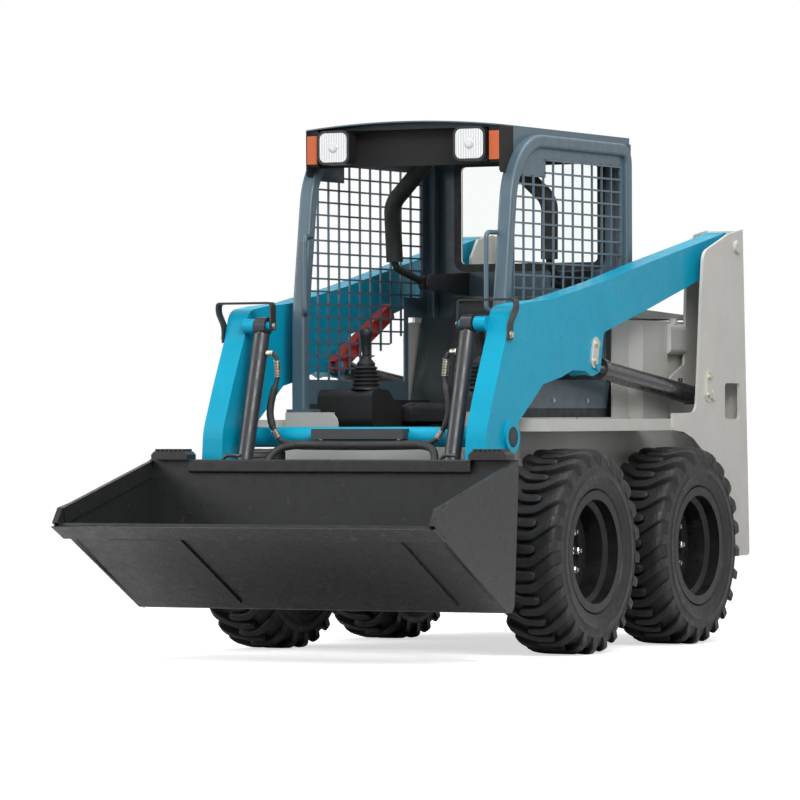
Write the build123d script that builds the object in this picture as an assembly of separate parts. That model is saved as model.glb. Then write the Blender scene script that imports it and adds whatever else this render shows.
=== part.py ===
from build123d import *
import math
import os

os.makedirs("parts", exist_ok=True)

# Skid steer loader, in millimetres.
# +Z is up, the machine faces -Y and +X is its own left side.
# Lengths along Y are counted from halfway between the two axles; save() moves
# every piece so that the finished origin is under the middle of the whole machine.

# ---------------------------------------------------------------- fits
running_gap = 0.05
seat_gap = 0.3
side_gap = 6.0

# ---------------------------------------------------------------- wheels and axles
wheelbase = 940.0
track = 1256.0
tyre_radius = 386.5
tyre_width = 264.0
tread_depth = 24.0
tyre_belly_drop = 92.0
shoulder_taper = 16.0
lug_count = 20
lug_width = 34.0
lug_sweep = 67.0
lug_root = 72.0
lug_nose_past_middle = 8.0
lug_knee = 50.0
lug_end_inset = 5.0
bead_toe = 8.0
bead_radius = 205.0
rim_flange_radius = 229.0
rim_flange = 5.0
rim_width = 236.0
rim_wall = 9.0
bead_seat_width = 42.0
well_depth = 18.0
well_near = 56.0
well_far = 150.0
disc_inset = 140.0
disc_thickness = 12.0
disc_dish = 14.0
disc_flat_radius = 146.0
hub_radius = 62.0
hub_depth = 60.0
hub_cap_radius = 52.0
hub_cap_length = 6.0
stud_circle_radius = 102.0
stud_count = 8
stud_radius = 9.0
stud_length = 14.0
shaft_radius = 27.5
shaft_length = 65.0
axle_tube_radius = 62.0
axle_flange_radius = 86.0
axle_flange = 14.0

# ---------------------------------------------------------------- chassis
tub_half_width = 455.0
tub_wall = 8.0
tub_front = -700.0
tub_rear = 1165.0
tub_bottom = 190.0
tub_top = 890.0
tub_chin = 120.0
chin_top = 430.0
sill_z = 800.0
horn_top = 912.0
horn_width = 227.0
horn_depth = 60.0
horn_corner = 45.0
bumper_bottom = 330.0
bumper_top = 430.0
bumper_depth = 62.0
bumper_proud = 44.0
bumper_nose_half = 540.0
tow_slot_width = 130.0
tow_slot_height = 46.0
tow_bore_radius = 16.0
tow_bore_lip = 9.0

fender_top = 884.0
fender_sheet = 6.0
fender_lip = 46.0
fender_front = -632.0
fender_rear = 480.0

# ---------------------------------------------------------------- rear towers
tower_outer = 646.0
tower_plate = 12.0
tower_inner = 480.0
tower_top = 1647.0
tower_rear_top = 1132.0
tower_rear_bottom = 1190.0
tower_foot = 330.0
tower_web = 10.0
arch_radius = 452.0
hand_hole_front = 949.0
hand_hole_rear = 1097.0
hand_hole_bottom = 881.0
hand_hole_top = 1025.0
hand_hole_corner = 18.0
keeper_plate = 6.0
keeper_width = 36.0
tower_keeper_head = (803.0, 1044.0)
arm_keeper_head = (-125.0, 1182.0)
tail_lamp_bottom = 1330.0
tail_lamp_height = 110.0
tail_lamp_width = 60.0
tail_lamp_depth = 22.0
tail_lamp_inner = 530.0

# ---------------------------------------------------------------- lift arms
arm_inner = 512.5
arm_outer = 597.5
lift_pivot = (1060.0, 1575.0)
lift_pin_radius = 25.0
arm_heel_radius = 58.0
cross_tube_place = (-892.0, 819.0)
cross_tube_radius = 38.0
cross_boss_radius = 58.0
cross_boss_proud = 14.0
cover_half_width = 195.0
cover_height = 38.0
cover_depth = 42.0
strap_width = 40.0
strap_thickness = 8.0
strap_foot = (-806.0, 1207.0)
strap_top = (-902.0, 1330.0)
strap_top_x = 633.0

# ---------------------------------------------------------------- hydraulic cylinders, pins as (y, z) at rest
bucket_pin = (-1075.0, 262.0)
bucket_pin_radius = 22.0
tilt_top_pin = (-905.0, 1238.0)
tilt_rod_pin = (-1125.0, 455.0)
tilt_x = 437.0
tilt_barrel_radius = 31.0
tilt_rod_radius = 17.0
tilt_eye_radius = 34.0
tilt_eye_width = 46.0
tilt_pin_radius = 18.0
tilt_boss_radius = 28.0
tilt_rod_bare = 130.0
lift_base_pin = (822.0, 977.0)
lift_lug_pin = (-153.0, 1090.0)
lift_barrel_radius = 38.0
lift_rod_radius = 22.0
lift_eye_radius = 38.0
lift_eye_width = 44.0
lift_pin_small = 20.0
lift_rod_bare = 110.0
rod_tail = 180.0
gland_length = 40.0
hose_radius = 9.0
sleeve_radius = 15.0
sleeve_half = 250.0
pipe_radius = 6.0
pipe_start = 110.0
port_radius = 9.0
gland_wall = 5.0

# ---------------------------------------------------------------- bucket and quick coupler
bucket_half_width = 783.5
bucket_heel = (-1214.0, 159.0)
bucket_edge = (-1871.0, 498.0)
bucket_lip = (-1825.0, 567.0)
bucket_top = (-1171.0, 736.0)
bucket_sheet = 10.0
bucket_heel_radius = 40.0
cheek_plate = 11.5
cutter_plate = 10.5
cutter_width = 110.0
rim_bar = 30.0
rim_bar_height = 50.0
rim_bar_half = 590.0
strip_width = 60.0
strip_thickness = 6.0
skid_inner = 300.0
skid_outer = 600.0
skid_thickness = 8.0
skid_rear = 110.0
edge_thickness = 16.0
edge_depth = 100.0
edge_lap = 20.0
coupler_plate = 14.0
coupler_ear = 13.0
coupler_low = 45.0
coupler_high = 440.0
coupler_beam = 60.0

# ---------------------------------------------------------------- cab
cab_half_width = 457.0
pillar_width = 57.0
pillar_depth = 50.0
pillar_corner = 12.0
pillar_y = -625.0
pillar_knee_z = 1261.0
pillar_top_y = -528.0
hoop_top = 1941.0
hoop_corner = 265.0
rear_post_y = 465.0
handle_x = 387.0
handle_y = -663.0
handle_bottom = 1290.0
handle_top = 1586.0
handle_radius = 9.0
rear_corner = 55.0
foot_plate = 12.0
sheet_x = 434.0
sheet_thickness = 5.0
skirt_bottom = 925.0
skirt_rear = 277.0
screen_front = -545.0
screen_rear = 402.0
screen_bottom = 1035.0
screen_top_drop = 69.0
screen_step_y = -258.0
screen_step_drop = 137.0
screen_bar = 7.0
screen_pitch_y = 84.0
screen_pitch_z = 48.0
rear_wall_sheet = 6.0
window_half = 333.0
window_bottom = 1475.0
window_top_drop = 16.0
window_corner = 48.0
seal_width = 30.0
seal_depth = 18.0
glass_thickness = 5.0
roof_front = -600.0
roof_rear = 545.0
roof_half = 416.0
roof_edge_z = 1994.0
roof_crown_z = 2017.0
roof_sheet = 5.0
gusset_bottom = 1813.0
header_y = -520.0
header_bottom = 1850.0
lamp_x = 291.0
lamp_z = 1923.0
lamp_face = -613.0
lamp_width = 118.0
lamp_height = 112.0
lamp_bezel = 9.0
lamp_depth = 60.0
lens_thickness = 6.0
marker_width = 42.0
marker_bottom = 1862.0
marker_top = 1970.0

# ---------------------------------------------------------------- operator's station
well_floor = 500.0
well_lip = 790.0
deck_front = -170.0
deck_z = 800.0
shelf_z = 1290.0
bulkhead_foot = 257.0
bulkhead_head = 397.0
station_sheet = 6.0
station_side = 4.0
seat_half = 250.0
seat_front = -205.0
seat_rear = 200.0
cushion_bottom = 860.0
cushion_top = 946.0
back_foot = (250.0, 900.0)
back_head = (350.0, 1385.0)
back_thickness = 86.0
pod_inner = 195.0
pod_outer = 429.0
pod_top = 1000.0
stick_x = 250.0
stick_y = -428.0
bar_pivot = (158.0, 1425.0)
bar_pivot_x = 300.0
bar_radius = 14.0
bar_pad_radius = 33.0
bar_pin_radius = 11.0
bar_eye_radius = 27.0
bar_swing_gap = 8.0

# ---------------------------------------------------------------- body behind the cab
panel_sheet = 6.0
body_top = 1272.0
hood_gap = 10.0
hood_front_z = 1316.0
hood_pivot = (514.0, 1324.0)
door_side_gap = 16.0
door_inner_y = 1140.0
door_outer_y = 1188.0
door_bottom = 440.0
door_top = 1262.0
door_wall = 14.0
door_hinge_y = 1190.0
door_hinge_inset = 10.0
hinge_pin_radius = 7.0
hinge_eye_radius = 12.0
louvre_count = 9
louvre_pitch = 48.0
louvre_gap = 22.0
bulge_start = 432.0
bulge_run = 73.0
bulge_depth = 29.0
tank_width = 44.0
tank_front = 740.0
tank_rear = 893.0
tank_bottom = 1140.0
tank_top = 1262.0
tank_corner = 26.0
tank_neck_radius = 17.0
tank_neck_y = 815.0
tank_neck_top = 1284.0
engine_half = 270.0
engine_front = 560.0
engine_rear = 1040.0
engine_bottom = 330.0
engine_top = 1020.0
engine_foot = 60.0
engine_foot_inset = 40.0


def save(name, *pieces):
    """Write one node, moved so that the whole machine is centred on the origin."""
    solids = [Pos(0, -middle, 0) * solid for piece in pieces for solid in piece.solids()]
    node = Compound(children=solids) if len(solids) > 1 else solids[0]
    node.label = name
    export_step(node, f"parts/{name}.step")


def plate(outline, x_from, x_to):
    """A plate cut to a side outline of (y, z, corner radius) rows, between two x planes."""
    line = FilletPolyline(
        *[(y, z) for y, z, radius in outline],
        radius=[radius for y, z, radius in outline],
        close=True,
    )
    return extrude(Plane.YZ.offset(x_from) * make_face(line), amount=x_to - x_from)


def cross_plate(outline, y_from, y_to):
    """A plate that faces front, cut to an outline of (x, z, corner radius) rows."""
    line = FilletPolyline(
        *[(x, z) for x, z, radius in outline],
        radius=[radius for x, z, radius in outline],
        close=True,
    )
    facing = Plane(origin=(0, y_from, 0), x_dir=(1, 0, 0), z_dir=(0, -1, 0))
    return extrude(facing * make_face(line), amount=y_from - y_to)


def folded(route, thickness, x_from, x_to):
    """A sheet folded along (y, z) points; its thickness lies to the left of the way they run."""
    runs = []
    for start, end in zip(route, route[1:]):
        length = math.dist(start, end)
        runs.append(((end[0] - start[0]) / length, (end[1] - start[1]) / length))
    inside = []
    for index, (y, z) in enumerate(route):
        before = runs[max(index - 1, 0)]
        after = runs[min(index, len(runs) - 1)]
        mitre = thickness / (1 + before[0] * after[0] + before[1] * after[1])
        inside.append((y - mitre * (before[1] + after[1]), z + mitre * (before[0] + after[0])))
    corners = list(route) + inside[::-1]
    return plate([(y, z, 0) for y, z in corners], x_from, x_to)


def block(x_from, x_to, y_from, y_to, z_from, z_to):
    """A plain block between three pairs of planes."""
    size = (x_to - x_from, y_to - y_from, z_to - z_from)
    centre = ((x_from + x_to) / 2, (y_from + y_to) / 2, (z_from + z_to) / 2)
    return Pos(*centre) * Box(*size)


def cross_rod(radius, x_from, x_to, place):
    """A round bar across the machine, at (y, z), between two x planes."""
    return Pos((x_from + x_to) / 2, *place) * Rot(0, 90, 0) * Cylinder(radius, x_to - x_from)


def upright_rod(radius, place, z_from, z_to):
    """A round upright bar, at (x, y), between two heights."""
    return Pos(*place, (z_from + z_to) / 2) * Cylinder(radius, z_to - z_from)


def mirrored(shape):
    """The same piece on the machine's other side."""
    return mirror(shape, about=Plane.YZ)


def both(shape):
    """A piece and its mirror image, as two solids."""
    return [shape, mirrored(shape)]


def shifted(place, y, z):
    """A (y, z) place moved along both."""
    return (place[0] + y, place[1] + z)


front_reach = bucket_edge[0]
rear_reach = tower_rear_bottom + bumper_proud
middle = (front_reach + rear_reach) / 2
front_axle = -wheelbase / 2
rear_axle = wheelbase / 2
axle_z = tyre_radius
wheel_x = track / 2


# ---------------------------------------------------------------- wheels
def revolve_about_x(profile):
    """Turn a profile of (x, r) points about the wheel's own axle, at the origin."""
    return revolve(make_face(Polyline(*profile, close=True)), axis=Axis.X)


def ring_of_corners(x, radius):
    """The corners of a flat-sided ring round the wheel's axle, one side to each lug."""
    turns = [2 * math.pi * (index + 0.5) / lug_count for index in range(lug_count)]
    return [(x, radius * math.sin(turn), radius * math.cos(turn)) for turn in turns]


def carcass():
    """The tyre without its lugs, in flat faces: (x, radius) rings from bead to bead and back."""
    half = tyre_width / 2
    seat = rim_width / 2 - rim_flange - bead_toe
    bead = (bead_radius + seat_gap) / math.cos(math.pi / lug_count)
    outer_half = [
        (seat, bead),
        (half, tyre_radius - tyre_belly_drop),
        (half - shoulder_taper, tyre_radius - tread_depth),
    ]
    rows = outer_half + [(-x, radius) for x, radius in reversed(outer_half)]
    rings = [ring_of_corners(x, radius) for x, radius in rows]
    faces = []
    for near, far in zip(rings, rings[1:] + rings[:1]):
        for index in range(lug_count):
            following = (index + 1) % lug_count
            corners = (near[index], far[index], far[following], near[following])
            faces.append(make_face(Polyline(*corners, close=True)).face())
    return Solid(Shell(faces))


def lug():
    """One lug at the top of the tyre: a nose at the middle, a knee, and an arm swept to the shoulder."""
    tip = lug_sweep + lug_width / 2
    end_x = tyre_width / 2 - lug_end_inset
    top = math.sqrt(tyre_radius ** 2 - tip ** 2)
    outline = Polyline(
        (-lug_nose_past_middle, 0),
        (lug_knee, -lug_width / 2),
        (end_x, lug_sweep - lug_width / 2),
        (end_x, tip),
        (lug_knee + 2, lug_width / 2),
        close=True,
    )
    root = tyre_radius - lug_root
    return extrude(Plane.XY.offset(root) * make_face(outline), amount=top - root)


def tyre():
    """One tyre: a carcass with two rows of lugs whose noses interlock at the middle."""
    step = 360 / lug_count
    first = lug()
    second = mirrored(first)
    lugs = []
    for index in range(lug_count):
        lugs.append(Rot(index * step, 0, 0) * first)
        lugs.append(Rot((index + 0.5) * step, 0, 0) * second)
    tip = lug_sweep + lug_width / 2
    tip_angle = math.degrees(math.asin(tip / tyre_radius))
    stand_on_tip = (180 + tip_angle) % (step / 2)
    return Rot(stand_on_tip, 0, 0) * (carcass() + lugs)


def rim():
    """One dished wheel: a drop-centre barrel with two flanges, a disc set deep in it, hub and shaft."""
    half = rim_width / 2
    inner = bead_radius - rim_wall
    face = half - disc_inset
    back = face - disc_thickness
    outside = [
        (half, rim_flange_radius), (half - rim_flange, rim_flange_radius), (half - rim_flange, bead_radius),
        (half - bead_seat_width, bead_radius), (half - well_near, bead_radius - well_depth),
        (half - well_far, bead_radius - well_depth), (half - well_far - 14, bead_radius),
        (-half + rim_flange, bead_radius), (-half + rim_flange, rim_flange_radius),
        (-half, rim_flange_radius),
    ]
    inside = [
        (-half, inner), (half - well_far - 14, inner), (half - well_far, inner - well_depth),
        (half - well_near, inner - well_depth), (half - bead_seat_width, inner), (half, inner),
    ]
    barrel = revolve_about_x(outside + inside)
    disc = revolve_about_x([
        (face, 0), (face, disc_flat_radius), (face + disc_dish, inner - well_depth + 1),
        (back + disc_dish, inner - well_depth + 1), (back, disc_flat_radius - 4), (back, 0),
    ])
    hub = revolve_about_x([
        (face - hub_depth, 0), (face - hub_depth, hub_radius - 4), (back, hub_radius + 4),
        (face, hub_radius + 4), (face, hub_cap_radius + 6), (face + hub_cap_length, hub_cap_radius),
        (face + hub_cap_length, 0),
    ])
    shaft = revolve_about_x([
        (face - hub_depth - shaft_length, 0), (face - hub_depth - shaft_length, shaft_radius),
        (face - hub_depth + 5, shaft_radius), (face - hub_depth + 5, 0),
    ])
    wheel = barrel + disc + hub + shaft
    for turn in range(stud_count):
        stud = Rot(turn * 360 / stud_count, 0, 0) * Pos(face + stud_length / 2, 0, stud_circle_radius)
        wheel += stud * Rot(0, 90, 0) * Cylinder(stud_radius, stud_length)
    return wheel


wheel_places = [
    # name, side, y
    ("front_left", 1, front_axle),
    ("front_right", -1, front_axle),
    ("rear_left", 1, rear_axle),
    ("rear_right", -1, rear_axle),
]
left_tyre = tyre()
left_rim = rim()
for wheel_name, side, y in wheel_places:
    place = Pos(side * wheel_x, y, axle_z)
    save(f"tyre_{wheel_name}", place * (left_tyre if side > 0 else mirrored(left_tyre)))
    save(f"rim_{wheel_name}", place * (left_rim if side > 0 else mirrored(left_rim)))

# Fixed axle tubes carry the four wheel shafts.
hub_back = wheel_x + rim_width / 2 - disc_inset - hub_depth
tube_end = hub_back - side_gap
shaft_end = hub_back - shaft_length
axle_tubes = []
for wheel_name, side, y in wheel_places:
    hub_place = (y, axle_z)
    tube = cross_rod(axle_tube_radius, tub_half_width, tube_end, hub_place)
    tube += cross_rod(axle_flange_radius, tub_half_width, tub_half_width + axle_flange, hub_place)
    tube -= cross_rod(shaft_radius + running_gap, shaft_end - side_gap, tube_end + 1, hub_place)
    axle_tubes.append(tube if side > 0 else mirrored(tube))
save("axle_housings", *axle_tubes)

# ---------------------------------------------------------------- chassis
chassis_sheet = folded([
    (tub_front, sill_z),
    (tub_front, chin_top),
    (tub_front + tub_chin, tub_bottom),
    (tub_rear - 60, tub_bottom),
    (tub_rear, tub_bottom + 80),
    (tub_rear, bumper_bottom + 1),
], tub_wall, -tub_half_width + tub_wall, tub_half_width - tub_wall)
chassis_sheet -= block(
    -tub_half_width, tub_half_width, tub_front - 1, tub_front + tub_wall, chin_top, sill_z + 1
)
save("belly", chassis_sheet)

side_front = tub_front + tub_wall
save("chassis_sides", *both(plate([
    (side_front, horn_top - tub_wall, 0),
    (side_front, chin_top - 2 * tub_wall, 0),
    (tub_front + tub_chin, tub_bottom, 0),
    (tub_rear - 60, tub_bottom, 0),
    (tub_rear, tub_bottom + 80, 0),
    (tub_rear, tub_top, 0),
    (tub_front + horn_depth + 20, tub_top, 0),
    (tub_front + horn_depth, horn_top - tub_wall, 0),
], tub_half_width - tub_wall, tub_half_width)))

horn_inner = tub_half_width - horn_width
front_panel = cross_plate([
    (-tub_half_width, chin_top, 0),
    (tub_half_width, chin_top, 0),
    (tub_half_width, horn_top, 0),
    (horn_inner, horn_top, horn_corner),
    (horn_inner, sill_z, horn_corner),
    (-horn_inner, sill_z, horn_corner),
    (-horn_inner, horn_top, horn_corner),
    (-tub_half_width, horn_top, 0),
], tub_front, tub_front + tub_wall)
horn_shelf = block(
    horn_inner + horn_corner, tub_half_width, tub_front, tub_front + horn_depth,
    horn_top - tub_wall, horn_top
)
front_panel += horn_shelf
front_panel += mirrored(horn_shelf)
save("front_panel", front_panel)

# The bumper's nose is slotted and bored for a tow pin dropped in from above.
bumper_half = tower_outer - tower_plate - seat_gap
bumper_bar_rear = tower_rear_bottom
rear_bumper = block(
    -bumper_half, bumper_half, bumper_bar_rear - bumper_depth, bumper_bar_rear, bumper_bottom, bumper_top
)
rear_bumper -= block(
    -tub_half_width, tub_half_width, bumper_bar_rear - bumper_depth - 1, tub_rear,
    bumper_bottom - 1, bumper_top + 1
)
rear_bumper += block(
    -bumper_nose_half, bumper_nose_half, bumper_bar_rear - 1, rear_reach, bumper_bottom, bumper_top
)
slot_z = (bumper_bottom + bumper_top) / 2
tow_place = (0, rear_reach - tow_bore_radius - tow_bore_lip)
rear_bumper -= block(
    -tow_slot_width / 2, tow_slot_width / 2, bumper_bar_rear, rear_reach + 1,
    slot_z - tow_slot_height / 2, slot_z + tow_slot_height / 2
)
rear_bumper -= upright_rod(tow_bore_radius, tow_place, bumper_bottom - 1, bumper_top + 1)
save("rear_bumper", rear_bumper)

fender_outer = tower_outer - tower_plate
fender_top_sheet = block(
    tub_half_width, fender_outer, fender_front, fender_rear, fender_top - fender_sheet, fender_top
)
fender_side = block(
    fender_outer - fender_sheet, fender_outer, fender_front, fender_rear,
    fender_top - fender_lip, fender_top
)
fender_nose = block(
    tub_half_width, fender_outer, fender_front, fender_front + fender_sheet,
    fender_top - fender_lip, fender_top
)
save("fenders", *both(fender_top_sheet + fender_side + fender_nose))

# ---------------------------------------------------------------- towers
tower_rows = [
    (tower_rear_top, tower_top, 4),
    (tower_rear_top - 140, tower_top - 24, 0),
    (748, 1545, 60),
    (728, 1393, 0),
    (697, 1076, 0),
    (677, fender_top + 24, 50),
    (fender_rear - 28, fender_top + 20, 0),
    (fender_rear - 28, fender_top - 30, 0),
]
arch_steps = 8
arch_start = 92.0
arch_sweep = 98.0
for step in range(arch_steps + 1):
    angle = math.radians(arch_start - step * arch_sweep / arch_steps)
    tower_rows.append((
        rear_axle + arch_radius * math.cos(angle), axle_z + arch_radius * math.sin(angle), 0
    ))
tower_rows += [
    (1068, tower_foot, 20),
    (tower_rear_bottom, tower_foot, 20),
]
inner_tower_rows = [
    (tower_rear_top, tower_top, 4),
    (tower_rear_top - 140, tower_top - 24, 0),
    (930, 1545, 40),
    (900, 1100, 0),
    (lift_base_pin[0] - 62, lift_base_pin[1] + 70, 40),
    (lift_base_pin[0] - 62, tub_top, 0),
    (tower_rear_top + 35, tub_top, 0),
]
web_slope = (tower_rear_bottom - tower_rear_top) / (tower_top - tower_foot)


def tower_back(z):
    """Where the tower's slanted back edge lies at a height."""
    return tower_rear_top + (tower_top - z) * web_slope


web_top = tower_top - 6
web_bottom = bumper_top + seat_gap
web_rows = [
    (tower_back(web_top) - tower_web, web_top, 0),
    (tower_back(web_top), web_top, 0),
    (tower_back(web_bottom), web_bottom, 0),
    (tower_back(web_bottom) - tower_web, web_bottom, 0),
]


def tower():
    """One rear upright: outer plate, inner plate, back web and the two pins between them."""
    upright = plate(tower_rows, tower_outer - tower_plate, tower_outer)
    upright -= plate([
        (hand_hole_front, hand_hole_bottom, hand_hole_corner),
        (hand_hole_rear, hand_hole_bottom, hand_hole_corner),
        (hand_hole_rear, hand_hole_top, hand_hole_corner),
        (hand_hole_front, hand_hole_top, hand_hole_corner),
    ], tower_outer - tower_plate - 1, tower_outer + 1)
    upright += plate(inner_tower_rows, tower_inner, tower_inner + tower_plate)
    upright += plate(web_rows, tub_half_width + seat_gap, tower_outer)
    upright += cross_rod(lift_pin_radius, tower_inner, tower_outer + 14, lift_pivot)
    upright += cross_rod(lift_pin_small, tower_inner, tower_outer + 10, lift_base_pin)
    return upright


# The left tower also carries the rear door's two hinge pins.
door_half = tub_half_width - tub_wall - door_side_gap
door_hinge = (tub_half_width - door_hinge_inset, door_hinge_y)
hinge_heights = [520.0, 1080.0]
hinge_leaf = 24.0
hinge_eye_length = 36.0
left_tower = tower()
for z in hinge_heights:
    left_tower += block(
        door_hinge[0] - 2, tub_half_width + 6, tower_back(z) - tower_web, door_hinge[1],
        z - hinge_leaf, z
    )
    left_tower += upright_rod(hinge_eye_radius, door_hinge, z - hinge_leaf, z)
    left_tower += upright_rod(hinge_pin_radius, door_hinge, z - hinge_leaf, z + hinge_eye_length + 4)
save("tower_left", left_tower)
save("tower_right", mirrored(tower()))



def keeper(x, pin_place, head_place, pin_radius):
    """A flat plate bolted beside a pin's end, its foot hollowed to hold the pin from turning."""
    length = math.dist(pin_place, head_place)
    y_way = (head_place[0] - pin_place[0]) / length * keeper_width / 2
    z_way = (head_place[1] - pin_place[1]) / length * keeper_width / 2
    flat = plate([
        (pin_place[0] - z_way, pin_place[1] + y_way, 0),
        (pin_place[0] + z_way, pin_place[1] - y_way, 0),
        (head_place[0] + z_way, head_place[1] - y_way, keeper_width / 4),
        (head_place[0] - z_way, head_place[1] + y_way, keeper_width / 4),
    ], x, x + keeper_plate)
    return flat - cross_rod(pin_radius + seat_gap, x - 1, x + keeper_plate + 1, pin_place)


save("tower_keepers", *both(keeper(tower_outer, lift_base_pin, tower_keeper_head, lift_pin_small)))

tail_lamp_top = tail_lamp_bottom + tail_lamp_height
save("tail_lamps", *both(plate([
    (tower_back(tail_lamp_bottom), tail_lamp_bottom, 0),
    (tower_back(tail_lamp_bottom) + tail_lamp_depth, tail_lamp_bottom, 5),
    (tower_back(tail_lamp_top) + tail_lamp_depth, tail_lamp_top, 5),
    (tower_back(tail_lamp_top), tail_lamp_top, 0),
], tail_lamp_inner, tail_lamp_inner + tail_lamp_width)))

# ---------------------------------------------------------------- lift arms
arm_rows = [
    # y, z, corner radius
    (lift_pivot[0], lift_pivot[1] + 55, 0),
    (835, 1588, 0),
    (360, 1499, 0),
    (-97, 1407, 0),
    (-535, 1334, 0),
    (-740, 1318, 0),
    (-880, 1300, 70),
    (-916, 1190, 60),
    (-1006, 1010, 60),
    (-1081, 845, 200),
    (-1108, 560, 150),
    (bucket_pin[0] - 54, bucket_pin[1] - 50, 48),
    (bucket_pin[0] + 54, bucket_pin[1] - 50, 48),
    (-980, 560, 150),
    (-917, 741, 60),
    (-817, 875, 60),
    (-707, 948, 0),
    (-612, 1014, 20),
    (-451, 1042, 0),
    (-355, 1069, 30),
    (-250, 1066, 30),
    (-188, 1046, 34),
    (-112, 1062, 34),
    (-80, 1215, 30),
    (358, 1320, 0),
    (834, 1441, 0),
    (lift_pivot[0] - 40, 1488, 40),
    (lift_pivot[0], lift_pivot[1] - 55, 0),
]
arm_x = (arm_inner + arm_outer) / 2
lug_slot_half = lift_eye_width / 2 + side_gap
lug_slot_front = lift_lug_pin[0] - lift_eye_radius - 2 * side_gap
lug_slot_top = lift_lug_pin[1] + lift_eye_radius + 3 * side_gap
tilt_pin_end = tilt_x - tilt_eye_width / 2 - 14


def arm():
    """One lift arm: a flat box of plate, bored for its pins and slotted for the lift rod's eye."""
    body = plate(arm_rows, arm_inner, arm_outer)
    body += cross_rod(arm_heel_radius, arm_inner, arm_outer, lift_pivot)
    body -= plate([
        (lug_slot_front, lift_lug_pin[1] - 100, 0),
        (lug_slot_front, lug_slot_top, 30),
        (lift_lug_pin[0] + 120, lug_slot_top, 0),
        (lift_lug_pin[0] + 120, lift_lug_pin[1] - 100, 0),
    ], arm_x - lug_slot_half, arm_x + lug_slot_half)
    body -= cross_rod(lift_pin_radius + running_gap, arm_inner - 1, arm_outer + 1, lift_pivot)
    body -= cross_rod(bucket_pin_radius + running_gap, arm_inner - 1, arm_outer + 1, bucket_pin)
    body += cross_rod(
        tilt_boss_radius, tilt_x + tilt_eye_width / 2 + side_gap, arm_inner + 1, tilt_top_pin
    )
    body += cross_rod(tilt_pin_radius, tilt_pin_end, arm_inner + 1, tilt_top_pin)
    body += cross_rod(
        cross_boss_radius, arm_outer - 1, arm_outer + cross_boss_proud, cross_tube_place
    )
    body += cross_rod(lift_pin_small, arm_outer - 1, arm_outer + keeper_plate + 4, lift_lug_pin)
    return body


# The right arm also carries the prop that holds the raised arms.
prop_pivot = (-233.0, 1100.0)
prop_pin_radius = 12.0
prop_width = 36.0
prop_x = arm_inner - side_gap - 42
prop_pin = cross_rod(prop_pin_radius, prop_x - 4, arm_inner + 1, prop_pivot)
prop_boss = cross_rod(
    prop_pin_radius + 8, prop_x + prop_width + side_gap, arm_inner + 1, prop_pivot
)
save("arm_left", arm())
save("arm_right", mirrored(arm() + prop_pin + prop_boss))
save("arm_keepers", *both(keeper(arm_outer, lift_lug_pin, arm_keeper_head, lift_pin_small)))
save("cross_tube", cross_rod(cross_tube_radius, -arm_inner, arm_inner, cross_tube_place))
tube_front = cross_tube_place[0] - cross_tube_radius
cover = block(
    -cover_half_width, cover_half_width, tube_front - cover_depth, tube_front + 8,
    cross_tube_place[1] - 7, cross_tube_place[1] - 7 + cover_height,
)
cover -= cross_rod(cross_tube_radius + seat_gap, -arm_inner, arm_inner, cross_tube_place)
save("tube_cover", cover)


def guard_strap():
    """A bent flat bar that bridges the tilt cylinder's top pin from the arm's outer face."""
    outer_x = arm_outer + seat_gap
    inner_x = tilt_pin_end - seat_gap - strap_thickness
    foot_top = strap_foot[1] + 30
    half = strap_width / 2
    bar = block(
        outer_x, outer_x + strap_thickness, strap_foot[0] - half, strap_foot[0] + half,
        strap_foot[1] - half, foot_top
    )
    lower = Plane.XY.offset(foot_top - 1) * Pos(outer_x + strap_thickness / 2, strap_foot[0]) * Rectangle(
        strap_thickness, strap_width
    )
    upper = Plane.XY.offset(strap_top[1]) * Pos(strap_top_x - strap_thickness / 2, strap_top[0]) * Rectangle(
        strap_thickness, strap_width
    )
    bar += loft([lower, upper])
    bar += block(
        inner_x, strap_top_x, strap_top[0] - half, strap_top[0] + half,
        strap_top[1] - strap_thickness, strap_top[1]
    )
    bar += block(
        inner_x, inner_x + strap_thickness, strap_top[0] - half, strap_top[0] + half,
        tilt_top_pin[1] - half, strap_top[1]
    )
    return bar


save("guard_straps", *both(guard_strap()))


# ---------------------------------------------------------------- hydraulic cylinders
def along(start, end, x):
    """A plane at a pin place, its z axis pointing at the other pin, its x axis across the machine."""
    direction = (0, end[0] - start[0], end[1] - start[1])
    return Plane(origin=(x, *start), x_dir=(1, 0, 0), z_dir=direction)


def barrel(start, end, x, radius, eye_radius, eye_width, pin_radius, rod_radius, bare):
    """The cylinder's outer tube with its base eye and gland, bored for the rod."""
    frame = along(start, end, x)
    reach = math.dist(start, end) - bare
    bore_from = eye_radius + 20
    body = frame * Pos(0, 0, (eye_radius + reach) / 2) * Cylinder(radius, reach - eye_radius)
    body += frame * Pos(0, 0, reach - gland_length / 2) * Cylinder(radius + gland_wall, gland_length)
    body += frame * Rot(0, 90, 0) * Cylinder(eye_radius, eye_width)
    body += frame * Pos(0, 0, eye_radius * 0.8) * Cylinder(radius * 0.7, eye_radius)
    body -= frame * Rot(0, 90, 0) * Cylinder(pin_radius + running_gap, max(eye_width, 2 * radius) + 2)
    body -= frame * Pos(0, 0, (reach + 1 + bore_from) / 2) * Cylinder(
        rod_radius + running_gap, reach + 1 - bore_from
    )
    return body


def rod(start, end, x, rod_radius, eye_radius, eye_width):
    """The sliding rod: its eye sits at the end pin and its tail stays inside the barrel."""
    frame = along(end, start, x)
    length = math.dist(start, end) - rod_tail
    body = frame * Pos(0, 0, length / 2) * Cylinder(rod_radius, length)
    body += frame * Rot(0, 90, 0) * Cylinder(eye_radius, eye_width)
    return body


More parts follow.
